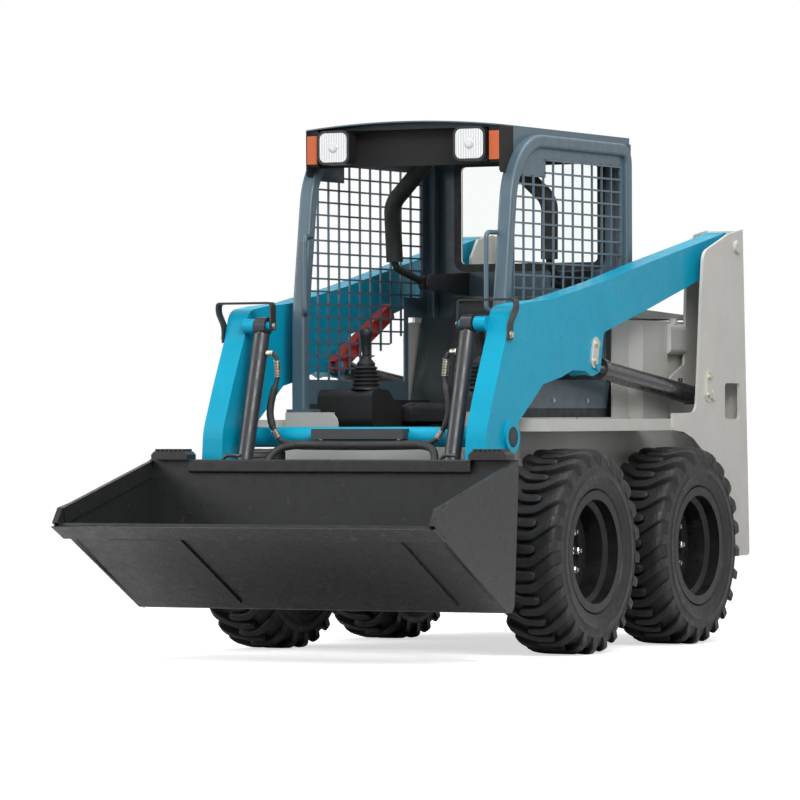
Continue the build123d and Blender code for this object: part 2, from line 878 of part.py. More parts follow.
def cord(route, radii, radius):
    """A round hose or pipe along a hand-set route of (x, y, z) points."""
    path = FilletPolyline(*route, radius=radii)
    return sweep(Plane(origin=path @ 0, z_dir=path % 0) * Circle(radius), path=path)


# Two hoses a side run from the tilt cylinder's ports into one sleeve that crosses under the cover.
port_x = tilt_x - tilt_barrel_radius - 0.6
sleeve_y = -966.0
sleeve_z = 789.0
low_hose = [
    # x, y, z
    (port_x, -1073, 640),
    (360, -1073, 640),
    (350, -990, 770),
    (sleeve_half - 12, sleeve_y, sleeve_z),
]
high_hose = [
    (port_x, -936, 1135),
    (346, -936, 1135),
    (366, -952, 960),
    (352, sleeve_y, sleeve_z + 6),
    (sleeve_half - 12, sleeve_y, sleeve_z + 6),
]
side_hoses = cord(low_hose, [30, 70], hose_radius) + cord(high_hose, [28, 90, 50], hose_radius)
sleeve = cross_rod(sleeve_radius, -sleeve_half, sleeve_half, (sleeve_y, sleeve_z))
save("tilt_hoses", sleeve + side_hoses + mirrored(side_hoses))

save("tilt_barrels", *both(barrel(
    tilt_top_pin, tilt_rod_pin, tilt_x, tilt_barrel_radius, tilt_eye_radius,
    tilt_eye_width, tilt_pin_radius, tilt_rod_radius, tilt_rod_bare
)))
save("tilt_rods", *both(rod(
    tilt_top_pin, tilt_rod_pin, tilt_x, tilt_rod_radius, tilt_eye_radius - 4, tilt_eye_width - 6
)))
lift_barrel = barrel(
    lift_base_pin, lift_lug_pin, arm_x, lift_barrel_radius, lift_eye_radius,
    lift_eye_width, lift_pin_small, lift_rod_radius, lift_rod_bare
)
lift_frame = along(lift_base_pin, lift_lug_pin, arm_x)
pipe_end = math.dist(lift_base_pin, lift_lug_pin) - lift_rod_bare - gland_length / 2
pipe_rise = lift_barrel_radius + pipe_radius + 5
lift_barrel += lift_frame * Pos(0, pipe_rise, (pipe_start + pipe_end) / 2) * Cylinder(
    pipe_radius, pipe_end - pipe_start + 2 * port_radius
)
for port_z in (pipe_start, pipe_end):
    port_foot = lift_frame * Pos(0, (pipe_rise + lift_barrel_radius - 6) / 2, port_z) * Rot(90, 0, 0)
    lift_barrel += port_foot * Cylinder(port_radius, pipe_rise - lift_barrel_radius + 6 + 2 * pipe_radius)
save("lift_barrels", *both(lift_barrel))
save("lift_rods", *both(rod(
    lift_base_pin, lift_lug_pin, arm_x, lift_rod_radius, lift_eye_radius - 4, lift_eye_width - 6
)))

# ---------------------------------------------------------------- bucket
floor_length = math.dist(bucket_edge, bucket_heel)
floor_y = (bucket_heel[0] - bucket_edge[0]) / floor_length
floor_z = (bucket_heel[1] - bucket_edge[1]) / floor_length
back_length = math.dist(bucket_heel, bucket_top)
back_y = (bucket_top[0] - bucket_heel[0]) / back_length
back_z = (bucket_top[1] - bucket_heel[1]) / back_length


def on_floor(run, rise):
    """A place run mm back along the floor from its tip and rise mm above its underside."""
    return (
        bucket_edge[0] + run * floor_y - rise * floor_z, bucket_edge[1] + run * floor_z + rise * floor_y
    )


def on_back(rise, out):
    """A place rise mm up the bucket's back and out mm behind it."""
    return (
        bucket_heel[0] + rise * back_y + out * back_z, bucket_heel[1] + rise * back_z - out * back_y
    )


corner_angle = math.acos(-(floor_y * back_y + floor_z * back_z))
inner_heel_run = floor_length - bucket_sheet / math.tan(corner_angle / 2)
shell = plate([
    (*on_floor(edge_lap, edge_thickness), 0),
    (*bucket_heel, bucket_heel_radius),
    (*bucket_top, 0),
    (*on_back(back_length, -bucket_sheet), 0),
    (*on_floor(inner_heel_run, bucket_sheet), bucket_heel_radius - bucket_sheet),
    (*on_floor(edge_lap, edge_thickness + bucket_sheet), 0),
], -bucket_half_width + cutter_plate, bucket_half_width - cutter_plate)
cheek_outer = bucket_half_width - cutter_plate
cheek = plate([
    (*on_floor(edge_lap, edge_thickness), 0),
    (*bucket_heel, bucket_heel_radius),
    (*bucket_top, 0),
    (*bucket_lip, 0),
    (*on_floor(0, edge_thickness), 0),
], cheek_outer - cheek_plate, cheek_outer)
cheek += plate([
    (*on_floor(0, edge_thickness), 0),
    (*on_floor(cutter_width, edge_thickness), 0),
    (*shifted(bucket_lip, cutter_width * 0.9, 20), 20),
    (*bucket_lip, 0),
], cheek_outer - 1, bucket_half_width)
shell += cheek
shell += mirrored(cheek)
# A bar stiffens the back's top edge, a strip each cheek's, and two skids wear under the floor.
rim_edge = plate([
    (*on_back(back_length, 0), 0),
    (*on_back(back_length, -rim_bar), 8),
    (*on_back(back_length - rim_bar_height, -rim_bar), 8),
    (*on_back(back_length - rim_bar_height, 0), 0),
], -rim_bar_half, rim_bar_half)
shell += rim_edge
strip = folded(
    [bucket_top, bucket_lip], strip_width,
    cheek_outer - cheek_plate - strip_thickness, cheek_outer - cheek_plate + 1
)
shell += strip
shell += mirrored(strip)


def shell_rise(run):
    """How high the shell's underside lies above the floor's line at a run from the tip."""
    return edge_thickness * (1 - (run - edge_lap) / (floor_length - edge_lap))


skid_front = edge_depth + 10
skid_end = floor_length - skid_rear
skid = plate([
    (*on_floor(skid_front, shell_rise(skid_front) + 1), 0),
    (*on_floor(skid_front + skid_thickness, shell_rise(skid_front) - skid_thickness), 0),
    (*on_floor(skid_end - skid_thickness, shell_rise(skid_end) - skid_thickness), 0),
    (*on_floor(skid_end, shell_rise(skid_end) + 1), 0),
], skid_inner, skid_outer)
shell += skid
shell += mirrored(skid)
save("bucket_shell", shell)
edge_rear_rise = shell_rise(edge_depth)
save("cutting_edge", plate([
    (*bucket_edge, 0),
    (*on_floor(edge_depth, 0), 0),
    (*on_floor(edge_depth, edge_rear_rise - seat_gap), 0),
    (*on_floor(edge_lap, edge_thickness - seat_gap), 0),
], -bucket_half_width, bucket_half_width))

# Tread plates for stepping on at the bucket's two top corners.
pad_inner = 590.0
pad_outer = 745.0
pad_plate = 30.0
pad_chamfer = 12.0
pad_tooth = 9.0
pad_teeth = 7
pad_front = bucket_top[0] - 46
pad_rear = bucket_top[0] + 22
pad_z = on_back(back_length, -bucket_sheet)[1] + seat_gap
pad = cross_plate([
    (pad_inner, pad_z, 0),
    (pad_outer, pad_z, 0),
    (pad_outer, pad_z + pad_plate - pad_chamfer, 0),
    (pad_outer - pad_chamfer, pad_z + pad_plate, 0),
    (pad_inner + pad_chamfer, pad_z + pad_plate, 0),
    (pad_inner, pad_z + pad_plate - pad_chamfer, 0),
], pad_front, pad_rear)
for index in range(pad_teeth):
    x = pad_inner + pad_chamfer + (index + 0.5) * (pad_outer - pad_inner - 2 * pad_chamfer) / pad_teeth
    pad += block(x - 4, x + 4, pad_front, pad_rear, pad_z + pad_plate - 1, pad_z + pad_plate + pad_tooth)
save("step_pads", *both(pad))

# Quick coupler: a back plate with three ears a side, joined by two square beams.
ear_faces = [
    # inner face, outer face
    (tilt_x - tilt_barrel_radius - gland_wall - side_gap - coupler_ear,
     tilt_x - tilt_barrel_radius - gland_wall - side_gap),
    (arm_inner - side_gap - coupler_ear, arm_inner - side_gap),
    (arm_outer + side_gap, arm_outer + side_gap + coupler_ear),
]
ear_rows = [
    (*on_back(coupler_low + 5, coupler_plate / 2), 0),
    (*shifted(bucket_pin, 30, -44), 40),
    (*shifted(bucket_pin, 46, 30), 40),
    (*shifted(tilt_rod_pin, 40, 20), 34),
    (*shifted(tilt_rod_pin, -10, 44), 34),
    (*on_back(coupler_high - 5, coupler_plate / 2), 0),
]
coupler_side = plate([
    (*on_back(coupler_low, seat_gap), 0),
    (*on_back(coupler_high, seat_gap), 0),
    (*on_back(coupler_high, coupler_plate), 0),
    (*on_back(coupler_low, coupler_plate), 0),
], ear_faces[0][0], ear_faces[2][1] + 24)
for inner_face, outer_face in ear_faces:
    coupler_side += plate(ear_rows, inner_face, outer_face)
coupler_side += cross_rod(bucket_pin_radius, ear_faces[1][0], ear_faces[2][1] + 8, bucket_pin)
coupler = coupler_side + mirrored(coupler_side)
for low in (coupler_low, coupler_high - coupler_beam):
    beam_half = ear_faces[0][0] + 1
    beam = plate([
        (*on_back(low, seat_gap), 0),
        (*on_back(low + coupler_beam, seat_gap), 0),
        (*on_back(low + coupler_beam, coupler_beam), 0),
        (*on_back(low, coupler_beam), 0),
    ], -beam_half, beam_half)
    coupler += beam
save("coupler", coupler)

# ---------------------------------------------------------------- cab frame
hoop_x = cab_half_width - pillar_width / 2
screen_top = hoop_top - screen_top_drop
screen_step_z = hoop_top - screen_step_drop
window_top = hoop_top - window_top_drop
pillar_foot = horn_top + foot_plate - 2
rear_post_foot = shelf_z + seat_gap
lean = math.atan2(pillar_top_y - pillar_y, hoop_top - pillar_knee_z)
knee_radius = 500.0


def hoop_rows(inset):
    """The cab hoop's line, moved inwards by inset, from the front foot to the rear post's foot."""
    top_z = hoop_top - inset
    top_y = pillar_y + inset / math.cos(lean) + (top_z - pillar_knee_z) * math.tan(lean)
    return [
        (pillar_y + inset, pillar_foot, 0),
        (pillar_y + inset, pillar_knee_z - inset * math.tan(lean / 2), knee_radius - inset),
        (top_y, top_z, hoop_corner - inset),
        (rear_post_y - inset, top_z, rear_corner - inset),
        (rear_post_y - inset, rear_post_foot, 0),
    ]


def side_sheet():
    """The sheet inside one hoop, cut out for its window and carried down as the skirt."""
    rows = hoop_rows(pillar_depth / 2 + seat_gap)
    sheet = plate(
        [(rows[0][0], skirt_bottom, 0)] + rows[1:]
        + [(skirt_rear, rear_post_foot, 0), (skirt_rear, skirt_bottom, 0)],
        sheet_x, sheet_x + sheet_thickness
    )
    return sheet - plate([
        (screen_front, screen_bottom, 12),
        (screen_front, screen_step_z, 12),
        (screen_step_y, screen_step_z, 0),
        (screen_step_y, screen_top, 12),
        (screen_rear, screen_top, 12),
        (screen_rear, shelf_z + 80, 12),
        (skirt_rear - 30, shelf_z + 80, 0),
        (skirt_rear - 30, screen_bottom, 12),
    ], sheet_x - 1, sheet_x + sheet_thickness + 1)


def side_frame():
    """One side of the cab: a rounded hoop of square tube, the pillar's foot plate and its handle."""
    rows = hoop_rows(0)
    path = Plane.YZ * FilletPolyline(
        *[(y, z) for y, z, radius in rows], radius=[radius for y, z, radius in rows[1:-1]]
    )
    section = Plane(origin=(0, pillar_y, pillar_foot), x_dir=(1, 0, 0), z_dir=(0, 0, 1))
    hoop = sweep(section * RectangleRounded(pillar_width, pillar_depth, pillar_corner), path=path)
    frame = Pos(hoop_x, 0, 0) * hoop
    frame += block(
        hoop_x - 62, cab_half_width, pillar_y - 63, pillar_y + 43, horn_top, horn_top + foot_plate
    )
    root_x = hoop_x - pillar_width / 2 + 6
    top_root_y = pillar_y + (handle_top - pillar_knee_z) * math.tan(lean)
    grip_path = FilletPolyline(
        (root_x, pillar_y, handle_bottom),
        (handle_x, handle_y, handle_bottom),
        (handle_x, handle_y, handle_top),
        (root_x, top_root_y, handle_top),
        radius=[22, 22]
    )
    frame += sweep(Plane(origin=grip_path @ 0, z_dir=grip_path % 0) * Circle(handle_radius), path=grip_path)
    return frame


left_frame = side_frame()
save("cab_hoop_left", left_frame)
save("cab_hoop_right", mirrored(left_frame))
save("cab_side_sheets", *both(side_sheet()))


def screen():
    """One welded wire screen on the cab side's outer face: uprights fused with level wires."""
    x_from = sheet_x + sheet_thickness
    x_to = x_from + screen_bar
    half = screen_bar / 2
    wires = []
    count = round((screen_rear - screen_front) / screen_pitch_y)
    for index in range(count + 1):
        y = screen_front + index * (screen_rear - screen_front) / count
        top = screen_step_z if y < screen_step_y else screen_top
        bottom = screen_bottom if y < skirt_rear - 30 else shelf_z + 80
        wires.append(block(x_from, x_to, y - half, y + half, bottom - screen_bar, top + screen_bar))
    count = round((screen_top - screen_bottom) / screen_pitch_z)
    for index in range(count + 1):
        z = screen_bottom + index * (screen_top - screen_bottom) / count
        front = screen_front if z < screen_step_z + 5 else screen_step_y
        rear = screen_rear if z > shelf_z + 70 else skirt_rear - 30
        wires.append(block(x_from, x_to, front - screen_bar, rear + screen_bar, z - half, z + half))
    inside_hoop = plate(hoop_rows(pillar_depth / 2 + 1), x_from - 1, x_to + 1)
    return (wires[0] + wires[1:]) & inside_hoop


save("side_screens", *both(screen()))

# ---------------------------------------------------------------- cab back and roof
rear_face = rear_post_y + pillar_depth / 2 + seat_gap
hoop_roof_z = hoop_top + pillar_depth / 2
window_mid_z = (window_bottom + window_top) / 2


def window_blank(shrink, y_from, y_to):
    """A rounded block that fills the rear window's opening, smaller all round by shrink."""
    outline = RectangleRounded(
        2 * (window_half - shrink), window_top - window_bottom - 2 * shrink, window_corner - shrink
    )
    facing = Plane(origin=(0, y_from, window_mid_z), x_dir=(1, 0, 0), z_dir=(0, -1, 0))
    return extrude(facing * outline, amount=y_from - y_to)


rear_wall = block(
    -cab_half_width + pillar_corner, cab_half_width - pillar_corner,
    rear_face, rear_face + rear_wall_sheet, rear_post_foot, hoop_roof_z
)
rear_wall -= window_blank(0, rear_face - 1, rear_face + rear_wall_sheet + 1)
hood_hinge_x = 300.0
hood_leaf = 16.0
hood_eye_length = 30.0
for side in (1, -1):
    leaf_x = side * hood_hinge_x
    leaf = block(
        leaf_x - hood_leaf / 2, leaf_x + hood_leaf / 2, rear_face + rear_wall_sheet - 1, hood_pivot[0],
        hood_pivot[1] - hinge_eye_radius, hood_pivot[1] + hinge_eye_radius
    )
    rear_wall += leaf
    rear_wall += cross_rod(
        hinge_eye_radius, leaf_x - hood_leaf / 2, leaf_x + hood_leaf / 2, hood_pivot
    )
    pin_end = leaf_x + side * (hood_leaf / 2 + hood_eye_length + 4)
    rear_wall += cross_rod(
        hinge_pin_radius, min(leaf_x, pin_end), max(leaf_x, pin_end), hood_pivot
    )
save("cab_rear_wall", rear_wall)
seal_front = rear_face + rear_wall_sheet / 2 - seal_depth / 2
window_seal = window_blank(seat_gap, seal_front, seal_front + seal_depth)
window_seal -= window_blank(seal_width, seal_front - 1, seal_front + seal_depth + 1)
save("window_seal", window_seal)
pane_front = seal_front + seal_depth / 2 - glass_thickness / 2
save("rear_glass", window_blank(seal_width + seat_gap, pane_front, pane_front + glass_thickness))

roof_rise = roof_crown_z - roof_edge_z
roof_radius = (roof_half ** 2 + roof_rise ** 2) / (2 * roof_rise)


def crown_drop(x):
    """How far the roof has fallen below its crown at a distance x from the middle."""
    return roof_radius - math.sqrt(roof_radius ** 2 - x ** 2)


def under_roof(half, z_from, sink, y_from, y_to):
    """A panel across the machine from z_from up to the roof's arc lowered by sink."""
    crown = roof_crown_z - sink
    edge = crown - crown_drop(half)
    facing = Plane(origin=(0, y_from, 0), x_dir=(1, 0, 0), z_dir=(0, -1, 0))
    outline = [
        ThreePointArc((-half, edge), (0, crown), (half, edge)),
        Line((half, edge), (half, z_from)),
        Line((half, z_from), (-half, z_from)),
        Line((-half, z_from), (-half, edge)),
    ]
    return extrude(facing * make_face(outline), amount=y_from - y_to)


roof_low = roof_edge_z - 3 * roof_sheet
roof = under_roof(roof_half, roof_low, 0, roof_front, roof_rear)
roof -= under_roof(roof_half - roof_sheet, roof_low - 1, roof_sheet, roof_front - 1, roof_rear + 1)
gusset = plate([
    (roof_front, roof_edge_z - roof_sheet, 0),
    (roof_front, gusset_bottom, 16),
    (pillar_top_y + 8, gusset_bottom, 0),
    (pillar_top_y + hoop_corner, hoop_roof_z + seat_gap, 0),
    (roof_rear, hoop_roof_z + seat_gap, 0),
    (roof_rear, roof_edge_z - roof_sheet, 0),
], roof_half - roof_sheet, roof_half)
gusset -= plate(hoop_rows(-pillar_depth / 2 - seat_gap), 0, cab_half_width)
flange_y = roof_front + 8
gusset += block(
    roof_half - marker_width - 8, roof_half - 1, flange_y, flange_y + roof_sheet,
    marker_bottom - 9, roof_edge_z - roof_sheet
)
roof += gusset
roof += mirrored(gusset)
header_half = cab_half_width - pillar_width - seat_gap
roof += under_roof(header_half, header_bottom, 2, header_y, header_y + roof_sheet)
roof += under_roof(header_half, hoop_roof_z + seat_gap, 2, rear_post_y, rear_post_y + roof_sheet)
save("cab_roof", roof)

lamps = []
lenses = []
markers = []
for side in (1, -1):
    x = side * lamp_x
    facing = Plane(origin=(x, lamp_face, lamp_z), x_dir=(1, 0, 0), z_dir=(0, -1, 0))
    bezel = extrude(facing * RectangleRounded(
        lamp_width + 2 * lamp_bezel, lamp_height + 2 * lamp_bezel, 30
    ), amount=-lamp_depth)
    bezel += block(
        x - 20, x + 20, lamp_face + lamp_depth - 1, header_y - seat_gap, lamp_z - 20, lamp_z + 20
    )
    bezel -= extrude(
        facing * RectangleRounded(lamp_width, lamp_height, 24), amount=-lens_thickness - 2 * seat_gap
    )
    lamps.append(bezel)
    lens = extrude(facing * RectangleRounded(
        lamp_width - 2 * seat_gap, lamp_height - 2 * seat_gap, 24 - seat_gap
    ), amount=-lens_thickness)
    lenses.append(Pos(0, seat_gap, 0) * lens)
    marker_x = side * (roof_half - roof_sheet - marker_width / 2)
    markers.append(block(
        marker_x - marker_width / 2, marker_x + marker_width / 2, roof_front, flange_y - seat_gap,
        marker_bottom, marker_top
    ))
save("headlamps", *lamps)
save("lamp_lenses", *lenses)
save("side_markers", *markers)

# ---------------------------------------------------------------- operator's station
well_front = tub_front + tub_wall + seat_gap
well_half = sheet_x - seat_gap
wall_front = pillar_y + 47
station = folded([
    (well_front, well_lip),
    (well_front, well_floor),
    (deck_front, well_floor),
    (deck_front, deck_z - station_sheet),
    (bulkhead_foot, deck_z - station_sheet),
    (bulkhead_head, shelf_z - station_sheet),
    (rear_face + rear_wall_sheet, shelf_z - station_sheet),
], station_sheet, -well_half, well_half)
station_wall = plate([
    (well_front, well_floor, 0),
    (deck_front, well_floor, 0),
    (deck_front, deck_z - station_sheet, 0),
    (bulkhead_foot, deck_z - station_sheet, 0),
    (bulkhead_foot + 30, skirt_bottom + 20, 0),
    (wall_front, skirt_bottom + 20, 0),
    (wall_front, well_lip, 0),
    (well_front, well_lip, 0),
], well_half - station_side, well_half)
station += station_wall
station += mirrored(station_wall)
save("cab_tub", station)

seat_lean = (back_head[0] - back_foot[0]) / (back_head[1] - back_foot[1])
stay_thickness = 8.0
stay_x = 150.0
base_height = cushion_bottom - seat_gap
seat_base = block(-185, 185, seat_front + 60, seat_rear - 20, deck_z, base_height)
seat_base -= block(-175, 175, seat_front + 70, seat_rear - 30, deck_z - 1, base_height - 8)
for side in (1, -1):
    stay = folded([
        (seat_rear - 60, base_height),
        (back_foot[0] + seat_gap + stay_thickness, base_height),
        (back_foot[0] + seat_gap + stay_thickness + seat_lean * 300, base_height + 340),
    ], stay_thickness, side * stay_x - 25, side * stay_x + 25)
    seat_base += stay
save("seat_base", seat_base)
cushion = block(
    -seat_half, seat_half, seat_front, seat_rear - 60, cushion_bottom + stay_thickness, cushion_top
)
cushion = fillet(cushion.edges().filter_by(Axis.Z), 40)
cushion = fillet(cushion.edges().group_by(Axis.Z)[-1], 20)
save("seat_cushion", cushion)
save("seat_back", plate([
    (*shifted(back_foot, -back_thickness, 0), 24),
    (*back_foot, 0),
    (*back_head, 24),
    (*shifted(back_head, -back_thickness + 14, 0), 34),
], -seat_half + 10, seat_half - 10))

pod_rows = [
    # y, z, corner radius
    (-484, pod_top, 30),
    (-484, 880, 40),
    (-400, 720, 40),
    (-240, 700, 20),
    (-240, pod_top - 60, 0),
    (-300, pod_top - 40, 30),
    (-350, pod_top, 30),
]
rest_rows = [
    (-300, 840, 20),
    (150, 840, 20),
    (150, pod_top - 40, 20),
    (-300, pod_top - 40, 0),
]
pod = plate(pod_rows, pod_inner, pod_outer) + plate(rest_rows, seat_half + 20, pod_outer)
save("control_pods", *both(pod))
stick = Pos(stick_x, stick_y, pod_top + seat_gap + 45) * Cone(44, 18, 90)
stick += upright_rod(8, (stick_x, stick_y), pod_top + 80, pod_top + 200)
grip = Pos(stick_x, stick_y, pod_top + 215) * Cylinder(20, 76)
stick += fillet(grip.edges(), 8)
save("joysticks", *both(stick))

# ---------------------------------------------------------------- seat bar
bar_bends = [
    # x, y, z
    (bar_pivot_x, bar_pivot[0], bar_pivot[1]),
    (337, -20, 1480),
    (344, -30, 1730),
    (140, -60, 1925),
]
bar_radii = [40, 90, 80]
pad_from = (337.7, -20.9, 1502)


def bar_sweep(bends, radii, section_radius):
    """A round bar swept through (x, y, z) bends on one side and back down the other."""
    path = FilletPolyline(
        *bends, *[(-x, y, z) for x, y, z in reversed(bends)], radius=radii + radii[::-1]
    )
    return sweep(Plane(origin=path @ 0, z_dir=path % 0) * Circle(section_radius), path=path)


seat_bar = bar_sweep(bar_bends, bar_radii, bar_radius)
seat_bar += bar_sweep([pad_from] + bar_bends[2:], bar_radii[1:], bar_pad_radius)
bar_eye = cross_rod(bar_eye_radius, bar_pivot_x - 14, bar_pivot_x + 14, bar_pivot)
seat_bar += bar_eye
seat_bar += mirrored(bar_eye)
bar_bore = cross_rod(bar_pin_radius + running_gap, bar_pivot_x - 30, bar_pivot_x + 30, bar_pivot)
seat_bar -= bar_bore
seat_bar -= mirrored(bar_bore)
save("seat_bar", seat_bar)

bracket_outer = bar_pivot_x - 14 - bar_swing_gap
bracket = plate([
    (bar_pivot[0] - 30, bar_pivot[1] - 30, 28),
    (rear_face - seat_gap, bar_pivot[1] - 46, 0),
    (rear_face - seat_gap, bar_pivot[1] + 46, 0),
    (bar_pivot[0] - 30, bar_pivot[1] + 30, 28),
], bracket_outer - 10, bracket_outer)
bracket += cross_rod(bar_pin_radius, bracket_outer - 1, bar_pivot_x + 16, bar_pivot)
save("bar_brackets", *both(bracket))

# ---------------------------------------------------------------- body behind the cab
panel_x = tub_half_width + seat_gap
panel_front = skirt_rear + 8
panel_rear = tower_back(body_top) - tower_web - seat_gap
panel_foot = fender_top + seat_gap
side_panel = plate([
    (panel_front, panel_foot, 0),
    (panel_rear, panel_foot, 0),
    (panel_rear, body_top, 0),
    (panel_front, body_top, 60),
], panel_x, panel_x + panel_sheet)
bulge_rear = tank_front - 2
bulge_plan = [
    # x, y
    (panel_x + panel_sheet - 1, bulge_start),
    (panel_x + bulge_depth + panel_sheet, bulge_start + bulge_run),
    (panel_x + bulge_depth + panel_sheet, bulge_rear),
    (panel_x + panel_sheet - 1, bulge_rear),
]
bulge = extrude(
    Plane.XY.offset(panel_foot) * make_face(Polyline(*bulge_plan, close=True)), amount=body_top - panel_foot
)
side_panel += bulge
save("body_panels", *both(side_panel))

hood_half = tub_half_width - 8
hood_bottom = body_top + hood_gap
hood_front = hood_pivot[0] - 6
hood = plate([
    (hood_front, hood_bottom, 0),
    (door_inner_y - 10, hood_bottom, 0),
    (door_inner_y - 10, hood_bottom + 14, 10),
    (hood_front + 120, hood_front_z, 80),
    (hood_front, hood_front_z, 0),
], -hood_half, hood_half)
hood -= plate([
    (hood_front + 10, hood_bottom - 1, 0),
    (door_inner_y - 20, hood_bottom - 1, 0),
    (door_inner_y - 20, hood_bottom + 6, 0),
    (hood_front + 120, hood_front_z - 8, 80),
    (hood_front + 10, hood_front_z - 8, 0),
], -hood_half + 8, hood_half - 8)
for side in (1, -1):
    eye_from = side * (hood_hinge_x + hood_leaf / 2 + 1)
    eye_to = side * (hood_hinge_x + hood_leaf / 2 + hood_eye_length)
    low_x, high_x = sorted((eye_from, eye_to))
    hood += cross_rod(hinge_eye_radius, low_x, high_x, hood_pivot)
    hood += block(
        low_x, high_x, hood_pivot[0], hood_pivot[0] + 30, hood_front_z - 4, hood_pivot[1]
    )
    hood -= cross_rod(hinge_pin_radius + running_gap, low_x - 1, high_x + 1, hood_pivot)
    low_x, high_x = sorted((side * (hood_hinge_x - hood_leaf), eye_from))
    hood -= block(
        low_x, high_x, hood_front - 1, hood_pivot[0] + 16, hood_bottom - 1, hood_front_z + 1
    )
save("hood", hood)

door = block(-door_half, door_half, door_inner_y, door_outer_y, door_bottom, door_top)
door = fillet(door.edges().filter_by(Axis.Z).group_by(Axis.Y)[-1], 12)
door -= block(
    -door_half + door_wall, door_half - door_wall, door_inner_y - 1, door_outer_y - door_wall,
    door_bottom + door_wall, door_top - door_wall
)
louvre_z = door_top - 80 - louvre_count * louvre_pitch
for index in range(louvre_count):
    z = louvre_z + index * louvre_pitch
    door -= block(-300, 300, door_outer_y - door_wall - 1, door_outer_y + 1, z, z + louvre_gap)
for z in hinge_heights:
    door += block(
        door_half - 8, door_hinge[0], door_outer_y - 10, door_outer_y + 10,
        z + 1, z + hinge_eye_length
    )
    door += upright_rod(hinge_eye_radius, door_hinge, z + 1, z + hinge_eye_length)
    door -= upright_rod(hinge_pin_radius + running_gap, door_hinge, z, z + hinge_eye_length + 1)
save("rear_door", door)

engine = block(-engine_half, engine_half, engine_front, engine_rear, engine_bottom, engine_top)
for x in (-engine_half + engine_foot_inset, engine_half - engine_foot_inset):
    for y in (engine_front + engine_foot_inset, engine_rear - engine_foot_inset):
        engine += block(
            x - engine_foot / 2, x + engine_foot / 2, y - engine_foot / 2, y + engine_foot / 2,
            tub_bottom + tub_wall, engine_bottom + 1
        )
save("engine_block", engine)

tank_x = panel_x + panel_sheet + seat_gap
tank = block(tank_x, tank_x + tank_width, tank_front, tank_rear, tank_bottom, tank_top)
tank = fillet(tank.edges().filter_by(Axis.Y).group_by(Axis.X)[-1], tank_corner)
tank += upright_rod(
    tank_neck_radius, (tank_x + tank_neck_radius + 2, tank_neck_y), tank_top - 1, tank_neck_top
)
save("fluid_tank", tank)

# ---------------------------------------------------------------- arm prop
prop_tip = (205.0, 1316.0)
prop_depth = 64.0
prop_sheet = 7.0
prop_length = math.dist(prop_pivot, prop_tip)
prop_y = (prop_tip[0] - prop_pivot[0]) / prop_length
prop_z = (prop_tip[1] - prop_pivot[1]) / prop_length


def on_prop(run, rise):
    """A place run mm along the prop from its pivot and rise mm above its middle line."""
    return (prop_pivot[0] + run * prop_y - rise * prop_z, prop_pivot[1] + run * prop_z + rise * prop_y)


prop_rows = [
    (*on_prop(-30, -prop_depth / 2), 26),
    (*on_prop(prop_length, -prop_depth / 2), 6),
    (*on_prop(prop_length, prop_depth / 2), 6),
    (*on_prop(-30, prop_depth / 2), 26),
]
prop = plate(prop_rows, prop_x, prop_x + prop_width)
prop -= plate([
    (*on_prop(-40, -prop_depth), 0),
    (*on_prop(prop_length + 10, -prop_depth), 0),
    (*on_prop(prop_length + 10, prop_depth / 2 - 8), 0),
    (*on_prop(-40, prop_depth / 2 - 8), 0),
], prop_x + prop_sheet, prop_x + prop_width - prop_sheet)
prop -= cross_rod(prop_pin_radius + running_gap, prop_x - 1, prop_x + prop_width + 1, prop_pivot)
save("arm_prop", mirrored(prop))
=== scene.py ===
import math

import bmesh
import bpy
from mathutils import Matrix, Vector


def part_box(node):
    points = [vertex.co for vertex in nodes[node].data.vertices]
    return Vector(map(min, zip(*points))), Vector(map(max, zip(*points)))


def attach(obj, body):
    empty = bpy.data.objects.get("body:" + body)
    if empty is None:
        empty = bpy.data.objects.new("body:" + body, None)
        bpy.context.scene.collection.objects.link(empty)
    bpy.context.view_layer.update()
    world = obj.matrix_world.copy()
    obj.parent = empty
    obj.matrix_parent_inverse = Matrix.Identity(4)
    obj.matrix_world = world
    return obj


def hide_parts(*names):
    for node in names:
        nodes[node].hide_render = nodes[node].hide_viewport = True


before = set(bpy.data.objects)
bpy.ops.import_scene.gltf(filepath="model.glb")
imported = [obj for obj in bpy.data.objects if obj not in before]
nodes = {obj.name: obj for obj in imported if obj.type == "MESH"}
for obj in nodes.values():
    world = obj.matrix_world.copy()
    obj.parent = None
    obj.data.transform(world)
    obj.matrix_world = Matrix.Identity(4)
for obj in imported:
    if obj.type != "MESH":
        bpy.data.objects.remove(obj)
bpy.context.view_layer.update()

# ---------------------------------------------------------------- studio
# A pale seamless floor, three large soft lamps and a long lens that looks from the machine's
# front left, level with the top of the fenders.
scene = bpy.context.scene
scene.view_settings.view_transform = "Standard"

camera_place = Vector((8.79194, -17.06276, 0.898796))
camera_turn = math.radians(27.684)
camera_pitch = math.radians(0.179)
camera_roll = math.radians(-0.180)
forward = Vector((
    -math.sin(camera_turn) * math.cos(camera_pitch),
    math.cos(camera_turn) * math.cos(camera_pitch),
    math.sin(camera_pitch),
))
camera_data = bpy.data.cameras.new("camera")
camera_data.lens = 224.65
camera_data.sensor_width = 36.0
camera_data.clip_end = 200.0
camera = bpy.data.objects.new("camera", camera_data)
camera.matrix_world = (
    Matrix.Translation(camera_place)
    @ forward.to_track_quat("-Z", "Y").to_matrix().to_4x4()
    @ Matrix.Rotation(camera_roll, 4, "Z")
)
scene.collection.objects.link(camera)
scene.camera = camera

